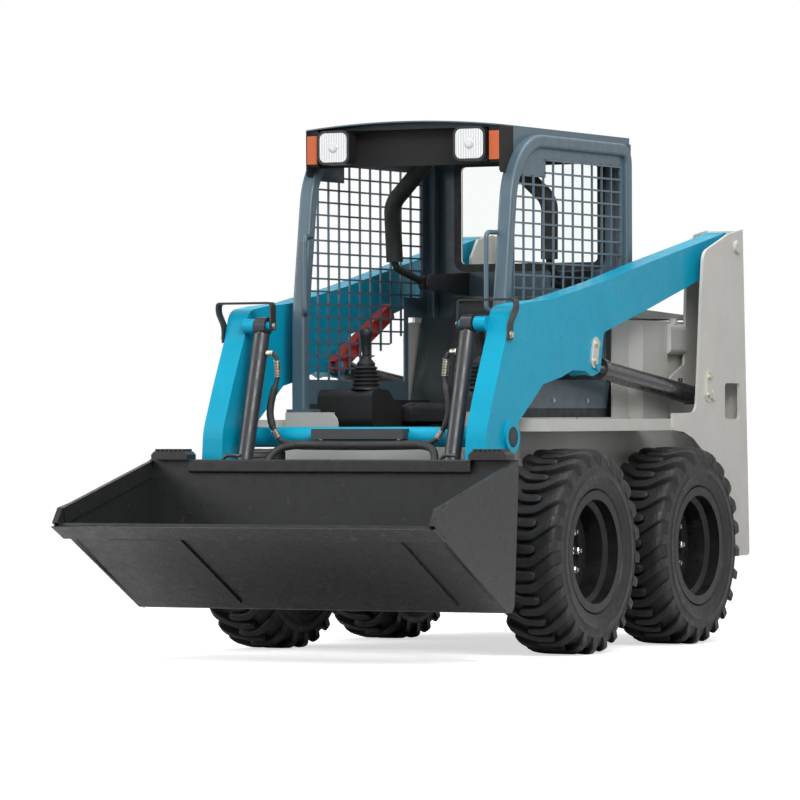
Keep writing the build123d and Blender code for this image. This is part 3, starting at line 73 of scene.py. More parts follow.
world = bpy.data.worlds.new("studio")
world.use_nodes = True
world_nodes = world.node_tree.nodes
world_links = world.node_tree.links
background = world_nodes["Background"]
background.inputs["Color"].default_value = (1, 1, 1, 1)
room_level = 0.45
glossy_gain = 0.35


def math_step(n, l, operation, *values):
    """A Math node on n and l, a tree's nodes and links, fed by numbers or sockets; its output."""
    step = n.new("ShaderNodeMath")
    step.operation = operation
    for socket, value in zip(step.inputs, values):
        if isinstance(value, (int, float)):
            socket.default_value = value
        else:
            l.new(value, socket)
    return step.outputs[0]


ray = world_nodes.new("ShaderNodeLightPath").outputs
seen = math_step(world_nodes, world_links, "MAXIMUM", ray["Is Camera Ray"], ray["Is Transmission Ray"])
lit = math_step(world_nodes, world_links, "MULTIPLY_ADD", ray["Is Glossy Ray"], glossy_gain, room_level)
level = math_step(world_nodes, world_links, "MAXIMUM", seen, lit)
world_links.new(level, background.inputs["Strength"])
scene.world = world


def area_lamp(name, place, target, size, power):
    """A soft rectangular lamp aimed at a point."""
    data = bpy.data.lights.new(name, "AREA")
    data.shape = "RECTANGLE"
    data.size, data.size_y = size
    data.energy = power
    lamp = bpy.data.objects.new(name, data)
    aim = Vector(target) - Vector(place)
    turn = aim.to_track_quat("-Z", "Y").to_matrix().to_4x4()
    lamp.matrix_world = Matrix.Translation(place) @ turn
    scene.collection.objects.link(lamp)


area_lamp("key", (4.5, -5.0, 5.0), (0, 0, 0.9), (4.0, 3.0), 410)
area_lamp("top", (0, 0, 6.5), (0, 0, 0), (5.0, 6.0), 250)
area_lamp("fill", (-5.5, -4.0, 3.0), (0, 0, 0.9), (4.0, 3.0), 165)

floor_half = 60.0
floor_glow = 0.62
floor_white = (0.86, 0.86, 0.86, 1)
floor_bounce = (0.30, 0.30, 0.30, 1)
floor_corners = [(x * floor_half, y * floor_half, 0) for x, y in ((-1, -1), (1, -1), (1, 1), (-1, 1))]
mesh = bpy.data.meshes.new("floor")
mesh.from_pydata(floor_corners, [], [(0, 1, 2, 3)])
floor = bpy.data.objects.new("floor", mesh)
scene.collection.objects.link(floor)
floor_material = bpy.data.materials.new("floor")
floor_material.use_nodes = True
floor_nodes = floor_material.node_tree.nodes
floor_links = floor_material.node_tree.links
matt = floor_nodes["Principled BSDF"]
matt.inputs["Roughness"].default_value = 1.0
matt.inputs["Specular IOR Level"].default_value = 0.0
ray = floor_nodes.new("ShaderNodeLightPath").outputs
bounce = floor_nodes.new("ShaderNodeMix")
bounce.data_type = "RGBA"
bounce.inputs[6].default_value = floor_white
bounce.inputs[7].default_value = floor_bounce
floor_links.new(ray["Is Diffuse Ray"], bounce.inputs[0])
floor_links.new(bounce.outputs[2], matt.inputs["Base Color"])
glow = floor_nodes.new("ShaderNodeEmission")
glow_level = math_step(floor_nodes, floor_links, "MULTIPLY", ray["Is Camera Ray"], floor_glow)
floor_links.new(glow_level, glow.inputs["Strength"])
both_shaders = floor_nodes.new("ShaderNodeAddShader")
floor_links.new(matt.outputs[0], both_shaders.inputs[0])
floor_links.new(glow.outputs[0], both_shaders.inputs[1])
floor_links.new(both_shaders.outputs[0], floor_nodes["Material Output"].inputs["Surface"])
mesh.materials.append(floor_material)

# ---------------------------------------------------------------- chassis
# A welded box of plate on four fixed axle tubes, sprayed light grey. Grime gathers low down, and
# a weld bead runs along the top of each side where the fender meets it.
chassis_colour = (0.53, 0.535, 0.50)
grime_colour = (0.30, 0.26, 0.21)
grime_top = 0.75


def surface(name, colour, rough, metal=0.0, coat=0.0):
    """A material with one Principled shader; returns it with its nodes, links and shader."""
    made = bpy.data.materials.new(name)
    made.use_nodes = True
    shader = made.node_tree.nodes["Principled BSDF"]
    shader.inputs["Base Color"].default_value = (*colour, 1)
    shader.inputs["Roughness"].default_value = rough
    shader.inputs["Metallic"].default_value = metal
    shader.inputs["Coat Weight"].default_value = coat
    return made, made.node_tree.nodes, made.node_tree.links, shader


def noise(n, l, scale, detail=4.0, stretch=(1, 1, 1)):
    """A noise pattern on Object coordinates, which may be stretched along an axis."""
    place = n.new("ShaderNodeTexCoord")
    mapping = n.new("ShaderNodeMapping")
    mapping.inputs["Scale"].default_value = stretch
    pattern = n.new("ShaderNodeTexNoise")
    pattern.inputs["Scale"].default_value = scale
    pattern.inputs["Detail"].default_value = detail
    l.new(place.outputs["Object"], mapping.inputs["Vector"])
    l.new(mapping.outputs["Vector"], pattern.inputs["Vector"])
    return pattern.outputs["Fac"]


def textured(n, l, kind, scale):
    """A texture node of one kind on Object coordinates."""
    place = n.new("ShaderNodeTexCoord")
    pattern = n.new("ShaderNodeTex" + kind)
    pattern.inputs["Scale"].default_value = scale
    l.new(place.outputs["Object"], pattern.inputs["Vector"])
    return pattern


def coordinates(n, l):
    """The Object coordinates as three sockets, X, Y and Z."""
    place = n.new("ShaderNodeTexCoord")
    axes = n.new("ShaderNodeSeparateXYZ")
    l.new(place.outputs["Object"], axes.inputs[0])
    return axes.outputs


def ranged(n, l, value, low, high, to_low, to_high):
    """A value moved from one range to another and clamped there."""
    step = n.new("ShaderNodeMapRange")
    sockets = ("From Min", "From Max", "To Min", "To Max")
    for socket, number in zip(sockets, (low, high, to_low, to_high)):
        step.inputs[socket].default_value = number
    l.new(value, step.inputs["Value"])
    return step.outputs["Result"]


def uneven(n, l, shader, scale, smoothest, roughest, **pattern):
    """Roughness that wanders between two values in patches."""
    patches = noise(n, l, scale, **pattern)
    l.new(ranged(n, l, patches, 0.3, 0.7, smoothest, roughest), shader.inputs["Roughness"])


def blended(n, l, factor, first, second):
    """A colour mixed from two, each a colour or a socket."""
    mix = n.new("ShaderNodeMix")
    mix.data_type = "RGBA"
    l.new(factor, mix.inputs[0])
    for socket, value in ((mix.inputs[6], first), (mix.inputs[7], second)):
        if isinstance(value, tuple):
            socket.default_value = (*value, 1)
        else:
            l.new(value, socket)
    return mix.outputs[2]


def bump(n, l, shader, height, strength, depth):
    """Raise a surface by a height pattern."""
    step = n.new("ShaderNodeBump")
    step.inputs["Strength"].default_value = strength
    step.inputs["Distance"].default_value = depth
    l.new(height, step.inputs["Height"])
    l.new(step.outputs["Normal"], shader.inputs["Normal"])


def paint(
    name, colour, rough=0.4, grime=0.5, worn=(0.2, 0.2, 0.2), wear=0.0, coat=0.0, low=grime_top, shine=0.5
):
    """Sprayed steel: faint orange peel, patchy gloss, grime that thickens downwards, worn specks."""
    made, n, l, shader = surface(name, colour, rough, coat=coat)
    shader.inputs["Specular IOR Level"].default_value = shine
    if coat:
        shader.inputs["Coat Roughness"].default_value = 0.12
    patches = ranged(n, l, noise(n, l, 5.0), 0.35, 0.7, 0.0, 0.5)
    tone = blended(n, l, patches, colour, tuple(c * 0.82 for c in colour))
    if wear:
        edge = 0.70 - wear * 0.12
        specks = ranged(n, l, noise(n, l, 38.0, 8.0), edge, edge + 0.06, 0.0, 0.9)
        tone = blended(n, l, specks, tone, worn)
    if grime:
        depth = ranged(n, l, coordinates(n, l)["Z"], 0.1, low, grime, 0.0)
        cloud = ranged(n, l, noise(n, l, 14.0, 6.0), 0.35, 0.65, 0.1, 1.0)
        tone = blended(n, l, math_step(n, l, "MULTIPLY", depth, cloud), tone, grime_colour)
    l.new(tone, shader.inputs["Base Color"])
    uneven(n, l, shader, 24.0, rough - 0.07, rough + 0.14)
    bump(n, l, shader, noise(n, l, 260.0, 2.0), 0.10, 0.001)
    return made


def dress(names, material):
    """Give CAD nodes their material."""
    for name in names.split():
        node = nodes[name]
        node.data.materials.clear()
        node.data.materials.append(material)


def finished(name, shape, material, body):
    """Make a mesh a piece of the machine that rides on one of its bodies."""
    piece = bpy.data.objects.new(name, shape)
    scene.collection.objects.link(piece)
    shape.materials.clear()
    shape.materials.append(material)
    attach(piece, body)
    return piece


chassis_paint = paint("chassis_grey_paint", chassis_colour, 0.38, grime=0.55)
dress("belly chassis_sides front_panel rear_bumper fenders", chassis_paint)
dress("axle_housings", paint("axle_paint", (0.05, 0.05, 0.055), 0.5, grime=0.8))

# Weld beads and small bolts are set along lines by one Geometry Nodes tree.
bead_radius = 0.0028
bead_pitch = bead_radius * 1.3


def repeater(name, sockets):
    """A Geometry Nodes tree with (name, type) inputs; returns it, its nodes, links and inputs."""
    tree = bpy.data.node_groups.new(name, "GeometryNodeTree")
    for label, kind in sockets:
        tree.interface.new_socket(label, in_out="INPUT", socket_type="NodeSocket" + kind)
    tree.interface.new_socket("Geometry", in_out="OUTPUT", socket_type="NodeSocketGeometry")
    return tree, tree.nodes, tree.links, tree.nodes.new("NodeGroupInput").outputs


def set_out(gn, gl, points, part, turn, material):
    """Set a part's copies on points, turned, make them real and give them their material."""
    scatter = gn.new("GeometryNodeInstanceOnPoints")
    realize = gn.new("GeometryNodeRealizeInstances")
    coat = gn.new("GeometryNodeSetMaterial")
    leave = gn.new("NodeGroupOutput")
    coat.inputs["Material"].default_value = material
    gl.new(points, scatter.inputs["Points"])
    gl.new(part, scatter.inputs["Instance"])
    gl.new(turn, scatter.inputs["Rotation"])
    gl.new(scatter.outputs["Instances"], realize.inputs[0])
    gl.new(realize.outputs[0], coat.inputs["Geometry"])
    gl.new(coat.outputs[0], leave.inputs[0])


def repeat_tree(name, material):
    """Copies of the object Part on the points of a mesh, each turned by the points' attribute."""
    tree, gn, gl, entry = repeater(name, (("Geometry", "Geometry"), ("Part", "Object")))
    part = gn.new("GeometryNodeObjectInfo")
    turn = gn.new("GeometryNodeInputNamedAttribute")
    turn.data_type = "FLOAT_VECTOR"
    turn.inputs["Name"].default_value = "turn"
    gl.new(entry["Part"], part.inputs["Object"])
    set_out(gn, gl, entry["Geometry"], part.outputs["Geometry"], turn.outputs["Attribute"], material)
    return tree


def settled(thing):
    """The mesh that an object has with its modifiers applied."""
    bpy.context.view_layer.update()
    graph = bpy.context.evaluated_depsgraph_get()
    return bpy.data.meshes.new_from_object(thing.evaluated_get(graph))


def repeated_by(tree, name, shape, values):
    """The mesh that a Geometry Nodes tree makes from a mesh and named input values."""
    carrier = bpy.data.objects.new(name, shape)
    scene.collection.objects.link(carrier)
    modifier = carrier.modifiers.new("repeat", "NODES")
    modifier.node_group = tree
    for item in tree.interface.items_tree:
        if item.in_out == "INPUT" and item.name in values:
            modifier[item.identifier] = values[item.name]
    result = settled(carrier)
    carrier.modifiers.clear()
    bpy.data.objects.remove(carrier)
    return result


def repeated(name, part_mesh, places, material, body):
    """Copies of a small mesh at (point, direction its Z axis faces) rows, as one plain piece."""
    cloud = bpy.data.meshes.new(name + "_points")
    cloud.from_pydata([tuple(point) for point, facing in places], [], [])
    turns = cloud.attributes.new("turn", "FLOAT_VECTOR", "POINT")
    for index, (point, facing) in enumerate(places):
        turns.data[index].vector = Vector(facing).to_track_quat("Z", "Y").to_euler()
    part = bpy.data.objects.new(name + "_part", part_mesh)
    scene.collection.objects.link(part)
    tree = repeat_tree(name + "_tree", material)
    result = repeated_by(tree, name + "_carrier", cloud, {"Part": part})
    bpy.data.objects.remove(part)
    return finished(name, result, material, body)


def meshed(name, made):
    """The mesh that a bmesh holds; the bmesh is let go."""
    shape = bpy.data.meshes.new(name)
    made.to_mesh(shape)
    made.free()
    return shape


def skinned(name, rings, smooth=True, tunnel=False):
    """A mesh over rings of points; its ends are closed, or in a tunnel joined to each other."""
    made = bmesh.new()
    loops = [[made.verts.new(spot) for spot in ring] for ring in rings]
    for near, far in zip(loops, loops[1:] + (loops[:1] if tunnel else [])):
        for index in range(len(near)):
            following = (index + 1) % len(near)
            made.faces.new((near[index], near[following], far[following], far[index]))
    if not tunnel:
        made.faces.new(loops[0][::-1])
        made.faces.new(loops[-1])
    bmesh.ops.recalc_face_normals(made, faces=made.faces)
    shape = meshed(name, made)
    for face in shape.polygons:
        face.use_smooth = smooth and len(face.vertices) == 4
    return shape


def round_turn(steps):
    """The sine and cosine of equal steps round a circle."""
    angles = [2 * math.pi * step / steps for step in range(steps)]
    return [(math.sin(angle), math.cos(angle)) for angle in angles]


def turned_mesh(name, profile, steps, smooth=True):
    """A mesh turned about Z from (radius, height) rows, closed at both ends."""
    rings = [
        [(radius * cosine, radius * sine, height) for sine, cosine in round_turn(steps)]
        for radius, height in profile
    ]
    return skinned(name, rings, smooth)


def joined(name, meshes):
    """Several meshes as one."""
    made = bmesh.new()
    for shape in meshes:
        made.from_mesh(shape)
    return meshed(name, made)


def bolt_mesh(name, across, height):
    """A hexagon bolt head on its washer, standing on Z = 0."""
    washer = [(across * 0.72, 0.0), (across * 0.72, height * 0.22), (across * 0.56, height * 0.22)]
    head = [(across * 0.5774, height * 0.2), (across * 0.5774, height * 0.88), (across * 0.48, height)]
    return joined(name, [
        turned_mesh(name + "_washer", washer, 18, False), turned_mesh(name + "_head", head, 6, False)
    ])


bolt_steel, n, l, shader = surface("zinc_bolts", (0.56, 0.53, 0.44), 0.32, 1.0)
uneven(n, l, shader, 90.0, 0.22, 0.5)
bolt_m12 = bolt_mesh("bolt_m12", 0.019, 0.009)
bolt_m8 = bolt_mesh("bolt_m8", 0.013, 0.006)


def line_points(start, end, pitch):
    """Points evenly set along a straight line."""
    start = Vector(start)
    end = Vector(end)
    count = max(2, round((end - start).length / pitch))
    return [start.lerp(end, index / (count - 1)) for index in range(count)]


def both_sides(*rows):
    """(point, facing) rows on the machine's left and, mirrored, on its right."""
    return [
        ((side * x, y, z), (side * across, along, up))
        for side in (1, -1) for (x, y, z), (across, along, up) in rows
    ]


def bead(name, runs, material, body):
    """Weld beads laid along straight (start, end) runs: overlapping flattened drops."""
    drop = turned_mesh(name + "_drop", [
        (bead_radius * 0.6, -bead_radius * 0.3), (bead_radius, 0.0),
        (bead_radius * 0.75, bead_radius * 0.5), (bead_radius * 0.25, bead_radius * 0.75),
    ], 8)
    places = []
    for start, end, facing in runs:
        places += [(point, facing) for point in line_points(start, end, bead_pitch)]
    return repeated(name, drop, places, material, body)


side_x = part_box("chassis_sides")[1][0]
fender_low, fender_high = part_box("fenders")
fender_front = fender_low[1]
fender_back = fender_high[1]
fender_top = fender_high[2]
weld_z = fender_top - 0.007
weld_runs = []
fender_bolts = []
for side in (1, -1):
    x = side * side_x
    weld_runs.append(((x, fender_front + 0.01, weld_z), (x, fender_back - 0.01, weld_z), (side, 0, -0.6)))
    for y in (fender_front + 0.06, (fender_front + fender_back) / 2, fender_back - 0.08):
        fender_bolts.append(((side * (side_x + 0.03), y, fender_top), (0, 0, 1)))
bead("fender_welds", weld_runs, chassis_paint, "chassis")
repeated("fender_bolts", bolt_m8, fender_bolts, bolt_steel, "chassis")
front_low, front_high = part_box("front_panel")
panel_bolt_x = 0.405
panel_bolt_edge = 0.09
panel_bolts = both_sides(*[
    ((panel_bolt_x, front_low[1], z), (0, -1, 0))
    for z in (front_low[2] + panel_bolt_edge, front_high[2] - panel_bolt_edge)
])
repeated("front_panel_bolts", bolt_m12, panel_bolts, bolt_steel, "chassis")

# ---------------------------------------------------------------- tyres
# Moulded black rubber on a round carcass, with two rows of deep bars that start in rounded noses
# at the middle, bend at a knee and sweep back to the shoulder, a half step apart.
lug_count = 24
lug_sweep = 0.067
lug_half_width = 0.017
lug_root = 0.006
lug_least = 0.008
shoulder_x = 0.100
shoulder_fall = 1.1
tread_radius = 0.3635
tyre_low, tyre_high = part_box("tyre_front_left")
tyre_radius = (tyre_high[2] - tyre_low[2]) / 2

rubber, n, l, shader = surface("tyre_rubber_black", (0.016, 0.016, 0.017), 0.5)
shader.inputs["Specular IOR Level"].default_value = 0.35
dusty = ranged(n, l, noise(n, l, 9.0, 6.0), 0.45, 0.75, 0.0, 0.32)
l.new(blended(n, l, dusty, (0.015, 0.015, 0.016), (0.060, 0.056, 0.050)), shader.inputs["Base Color"])
uneven(n, l, shader, 40.0, 0.4, 0.62)
bump(n, l, shader, noise(n, l, 700.0, 3.0), 0.25, 0.0008)

carcass_rows = [
    # x, radius, from the bead round the side to the middle of the tread
    (0.104, 0.2066), (0.109, 0.222), (0.1115, 0.2325), (0.1165, 0.2365), (0.1215, 0.2385),
    (0.1240, 0.2450), (0.1225, 0.2490), (0.1262, 0.2560), (0.1290, 0.2690), (0.1310, 0.2850),
    (0.1325, 0.2862), (0.1325, 0.2888), (0.1312, 0.2900), (0.1308, 0.3050), (0.1290, 0.3200),
    (0.1300, 0.3212), (0.1290, 0.3240), (0.1272, 0.3260), (0.1225, 0.3420), (0.1165, 0.3540),
    (0.1080, 0.3605), (0.0800, 0.3622), (0.0400, 0.3632), (0.0, 0.3635),
]
carcass_steps = 144


def carcass_mesh():
    """The carcass turned about its axle, the X axis."""
    whole = carcass_rows + [(-x, radius) for x, radius in reversed(carcass_rows[:-1])]
    rings = [
        [(x, radius * sine, radius * cosine) for sine, cosine in round_turn(carcass_steps)]
        for x, radius in whole
    ]
    return skinned("carcass", rings, tunnel=True)


lug_stations = [
    # x, sweep back, half width, drop of its top
    (-0.046, 0.0, 0.007, 0.003), (-0.040, 0.0, 0.0125, 0.001), (-0.030, 0.0, 0.0155, 0.0),
    (-0.010, 0.0, 0.0165, 0.0), (0.012, 0.001, 0.0165, 0.0), (0.030, 0.004, 0.017, 0.0),
    (0.050, 0.014, 0.018, 0.0), (0.072, 0.031, 0.019, 0.0), (0.092, 0.046, 0.020, 0.001),
    (0.108, 0.058, 0.020, 0.004), (0.120, 0.066, 0.0195, 0.010), (0.1285, 0.071, 0.0175, 0.019),
    (0.1315, 0.074, 0.015, 0.032),
]


def lug_mesh():
    """One bar at the top of the tyre: sloped walls, eased top edges, its end run down the shoulder."""
    sections = []
    for x, sweep, half, drop in lug_stations:
        root = tread_radius - lug_root - max(0.0, x - shoulder_x) * shoulder_fall
        top = max(tyre_radius - drop, root + lug_least)
        section = []
        for across, radius in (
            (-half - 0.0045, root), (-half, top - 0.0035), (-half + 0.0025, top - 0.0008), (0.0, top),
            (half - 0.0025, top - 0.0008), (half, top - 0.0035), (half + 0.0045, root),
        ):
            angle = (sweep + across) / tyre_radius
            section.append((x, radius * math.sin(angle), radius * math.cos(angle)))
        sections.append(section)
    return skinned("lug", sections, False)


def ring_tree():
    """Copies of a part turned about the X axis in equal steps, their count and first turn as inputs."""
    tree, gn, gl, entry = repeater(
        "ring_of_lugs", (("Geometry", "Geometry"), ("Count", "Int"), ("First Turn", "Float"))
    )
    line = gn.new("GeometryNodeMeshLine")
    line.inputs["Offset"].default_value = (0, 0, 0)
    number = gn.new("GeometryNodeInputIndex")
    step = math_step(gn, gl, "DIVIDE", 2 * math.pi, entry["Count"])
    spin = gn.new("ShaderNodeCombineXYZ")
    gl.new(entry["Count"], line.inputs["Count"])
    gl.new(math_step(gn, gl, "MULTIPLY_ADD", number.outputs[0], step, entry["First Turn"]), spin.inputs["X"])
    set_out(gn, gl, line.outputs[0], entry["Geometry"], spin.outputs[0], rubber)
    return tree


def ring_of(part_mesh, first_turn):
    """The part's mesh repeated round the axle."""
    values = {"Count": lug_count, "First Turn": first_turn}
    return repeated_by(lug_ring, "ring_carrier", part_mesh, values)


def flipped(shape, name):
    """The mesh's mirror image across X, its faces turned outwards again."""
    made = bmesh.new()
    made.from_mesh(shape)
    bmesh.ops.scale(made, vec=(-1, 1, 1), verts=made.verts)
    bmesh.ops.reverse_faces(made, faces=made.faces)
    return meshed(name, made)


lug_ring = ring_tree()
one_lug = lug_mesh()
tip_angle = math.degrees(math.asin((lug_sweep + lug_half_width) / tyre_radius))
lug_step = 360 / lug_count
stand_on_tip = math.radians((180 + tip_angle) % (lug_step / 2))
left_row = ring_of(one_lug, stand_on_tip)
right_row = ring_of(flipped(one_lug, "lug_far"), stand_on_tip + math.radians(lug_step / 2))
left_tyre = joined("left_tyre", [carcass_mesh(), left_row, right_row])
right_tyre = flipped(left_tyre, "right_tyre")
wheels = ["front_left", "front_right", "rear_left", "rear_right"]


def wheel_centre(wheel):
    """The middle of a tyre's CAD box."""
    low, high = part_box("tyre_" + wheel)
    return (Vector(low) + Vector(high)) / 2


for wheel in wheels:
    mesh = (left_tyre if wheel.endswith("left") else right_tyre).copy()
    mesh.transform(Matrix.Translation(wheel_centre(wheel)))
    tyre_piece = finished("lugged_tyre_" + wheel, mesh, rubber, "wheel_" + wheel)
    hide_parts("tyre_" + wheel)

# ---------------------------------------------------------------- wheel rims
# Pressed steel wheels with a drop centre, painted black, each held by eight plated nuts on a
# ring of studs; the disc sits deep behind the outer flange.
stud_circle = 0.102
nut_face_inset = 0.140
rim_half = 0.118
rim_paint = paint("rim_black_paint", (0.008, 0.008, 0.009), 0.3, grime=0.03, low=0.8, shine=0.3)
dress(" ".join("rim_" + wheel for wheel in wheels), rim_paint)
nut_chrome, n, l, shader = surface("nut_plating", (0.72, 0.71, 0.68), 0.2, 1.0)
uneven(n, l, shader, 120.0, 0.12, 0.34)
nut_washer = [(0.0175, 0.0), (0.0175, 0.003), (0.0155, 0.0045)]
nut_body = [
    (0.0152, 0.004), (0.0152, 0.0215), (0.0130, 0.0245), (0.0088, 0.0250), (0.0088, 0.0330), (0.0075, 0.0340),
]
nut = joined("wheel_nut", [
    turned_mesh("nut_washer", nut_washer, 28, False), turned_mesh("nut_body", nut_body, 6, False)
])
nut_count = 8
for wheel in wheels:
    centre = wheel_centre(wheel)
    side = 1 if wheel.endswith("left") else -1
    face_x = centre[0] + side * (rim_half - nut_face_inset)
    places = [
        ((face_x, centre[1] + stud_circle * sine, centre[2] + stud_circle * cosine), (side, 0, 0))
        for sine, cosine in round_turn(nut_count)
    ]
    repeated("wheel_nuts_" + wheel, nut, places, nut_chrome, "wheel_" + wheel)

# ---------------------------------------------------------------- rear towers
# Uprights of thick plate that carry the arms' pivot pins, painted a warm pale grey, with a hand
# hole low down and round-ended zinc keeper plates at the lift cylinders' pins.
dress("tower_left tower_right", paint("tower_pale_paint", (0.63, 0.615, 0.58), 0.36, grime=0.3))
zinc, n, l, shader = surface("zinc_plate_clear", (0.60, 0.59, 0.54), 0.4, 0.75)
cloudy = ranged(n, l, noise(n, l, 30.0, 6.0), 0.35, 0.65, 0.0, 1.0)
l.new(blended(n, l, cloudy, (0.62, 0.60, 0.53), (0.66, 0.66, 0.63)), shader.inputs["Base Color"])
keeper_thick = 0.0065
keeper_round = 0.027
keeper_chamfer = 0.001
bolt_m16 = bolt_mesh("bolt_m16", 0.024, 0.011)


def keeper_mesh(x, upper, lower, side):
    """A flat plate with round ends about two (y, z) bolt places, standing out from an x plane."""
    top = Vector((0, *upper))
    foot = Vector((0, *lower))
    middle = (top + foot) / 2
    along = (top - foot).normalized()
    across = Vector((1, 0, 0)).cross(along)
    outline = []
    for centre, first in ((top, 0.0), (foot, math.pi)):
        for step in range(17):
            angle = first + math.pi * step / 16
            outline.append(centre + keeper_round * (math.cos(angle) * across + math.sin(angle) * along))
    rings = []
    for reach, inset in ((0.0, 1.0), (keeper_thick - keeper_chamfer, 1.0), (keeper_thick, 0.965)):
        rings.append([(
            side * (x + reach),
            middle.y + (spot.y - middle.y) * inset,
            middle.z + (spot.z - middle.z) * inset,
        ) for spot in outline])
    return skinned("keeper", rings, False)


def keeper_pair(which, face_x, gap, bolts, body):
    """A keeper plate on each side with its two bolts, in place of the CAD's plain pair."""
    plates = joined("keepers", [keeper_mesh(face_x + gap, *bolts, side) for side in (1, -1)])
    piece = finished("rounded_" + which + "_keepers", plates, zinc, body)
    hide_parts(which + "_keepers")
    places = both_sides(*[((face_x + keeper_thick, y, z), (1, 0, 0)) for y, z in bolts])
    repeated(which + "_keeper_bolts", bolt_m16, places, bolt_steel, body)


tower_face = 0.6462
tower_keeper_bolts = ((1.1090, 1.049), (1.0990, 0.977))
keeper_pair("tower", tower_face, 0.0, tower_keeper_bolts, "chassis")
red_lens, n, l, shader = surface("tail_lamp_red", (0.42, 0.012, 0.012), 0.18, coat=0.6)
bump(n, l, shader, noise(n, l, 180.0, 0.0, (1, 1, 0.2)), 0.3, 0.001)
dress("tail_lamps", red_lens)

# ---------------------------------------------------------------- lift arms
# Two flat boxes of folded plate, glossy blue, joined by a cross tube in front of the cab. Seams
# are ground flush; weld beads show round the tube's bosses.
arm_paint = paint("arm_blue_paint", (0.0, 0.345, 0.53), 0.34, grime=0.04, shine=0.25)
dress("arm_left arm_right cross_tube", arm_paint)
tube_low, tube_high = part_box("cross_tube")
tube_y = (tube_low[1] + tube_high[1]) / 2
tube_z = (tube_low[2] + tube_high[2]) / 2
arm_outer = 0.5975


def ring_bead(name, centre, radius, facing_x, material, body):
    """A weld bead round a boss whose axis lies along X."""
    drop = turned_mesh(name + "_drop", [
        (bead_radius * 0.6, -bead_radius * 0.3), (bead_radius, 0.0), (bead_radius * 0.3, bead_radius * 0.75),
    ], 8)
    places = []
    for sine, cosine in round_turn(round(2 * math.pi * radius / bead_pitch)):
        out = Vector((0, cosine, sine))
        places.append((Vector(centre) + out * radius, out + Vector((facing_x, 0, 0))))
    return repeated(name, drop, places, material, body)


boss_weld_radius = 0.0585
for side, label in ((1, "left"), (-1, "right")):
    centre = (side * arm_outer, tube_y, tube_z)
    ring_bead("boss_weld_" + label, centre, boss_weld_radius, side, arm_paint, "boom")
# A dark teal disc on each end of the cross tube: painted shadow in the tube's end.
tube_end_painted_shadow, n, l, shader = surface("tube_end_shadow", (0.012, 0.03, 0.036), 0.7)
bump(n, l, shader, noise(n, l, 90.0), 0.2, 0.001)
shadow_disc = turned_mesh("tube_end", [(0.0385, 0.0), (0.0385, 0.0006), (0.0340, 0.0010), (0.0, 0.0012)], 40)
boss_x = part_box("arm_left")[1][0]
shadow_disc_places = both_sides(((boss_x, tube_y, tube_z), (1, 0, 0)))
repeated("cross_tube_ends", shadow_disc, shadow_disc_places, tube_end_painted_shadow, "boom")
arm_keeper_bolts = ((0.1615, 1.170), (0.1460, 1.104))
keeper_pair("arm", arm_outer, 0.0002, arm_keeper_bolts, "boom")

# ---------------------------------------------------------------- cover and guard straps
# A folded dark grey cover over the hose sleeve at the cross tube's middle, held by two bolts,
# and a bent flat bar in satin black over each tilt cylinder's top pin.
black_paint = paint(
    "satin_black_paint", (0.018, 0.018, 0.019), 0.42, grime=0.2, worn=(0.12, 0.12, 0.12), wear=0.15
)
dress("tube_cover", paint("cover_grey_paint", (0.04, 0.044, 0.046), 0.42, grime=0.2))
dress("guard_straps coupler", black_paint)
cover_low, cover_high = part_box("tube_cover")
cover_y = (cover_low[1] + cover_high[1]) / 2
cover_bolts = both_sides(((cover_high[0] - 0.03, cover_y, cover_low[2]), (0, 0, -1)))
repeated("cover_bolts", bolt_m8, cover_bolts, bolt_steel, "boom")
shift = 0.3185
strap_y = -0.902 + shift
strap_half = 0.019
strap_thick = 0.008
strap_ease = 0.014
strap_route = [
    # x, z
    (0.6035, 1.176), (0.6055, 1.238), (0.630, 1.290), (0.630, 1.326), (0.3965, 1.326), (0.3965, 1.222),
]


def eased(corners, ease):
    """A route through points that leaves each corner out by a small curve."""
    corners = [Vector(corner) for corner in corners]
    route = [corners[0]]
    for before, corner, after in zip(corners, corners[1:], corners[2:]):
        enter = corner + (before - corner).normalized() * ease
        leave = corner + (after - corner).normalized() * ease
        for index in range(7):
            share = index / 6
            route.append(enter.lerp(corner, share).lerp(corner.lerp(leave, share), share))
    return route + [corners[-1]]


def ahead_at(route, index):
    """The direction that a route has at one of its points."""
    return (route[min(index + 1, len(route) - 1)] - route[max(index - 1, 0)]).normalized()


def strap_mesh(side):
    """A flat bar bent along its route, with eased bends and chamfered edges."""
    route = eased([(x, 0, z) for x, z in strap_route], strap_ease)
    rings = []
    for index, point in enumerate(route):
        ahead = ahead_at(route, index)
        out = Vector((-ahead.z, 0, ahead.x))
        ring = []
        for across, lift in ((-1, -0.5), (-0.94, 0.5), (0.94, 0.5), (1, -0.5)):
            spot = point + out * lift * strap_thick
            ring.append((side * spot.x, strap_y + across * strap_half, spot.z))
        rings.append(ring)
    return skinned("strap", rings, False)


strap_pair = joined("straps", [strap_mesh(side) for side in (1, -1)])
straps = finished("bent_guard_straps", strap_pair, black_paint, "boom")
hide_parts("guard_straps")
strap_bolts = both_sides(
    ((0.6085, strap_y, 1.196), (1, 0, 0)), ((0.3925, strap_y, 1.238), (-1, 0, 0))
)
repeated("strap_bolts", bolt_m12, strap_bolts, bolt_steel, "boom")

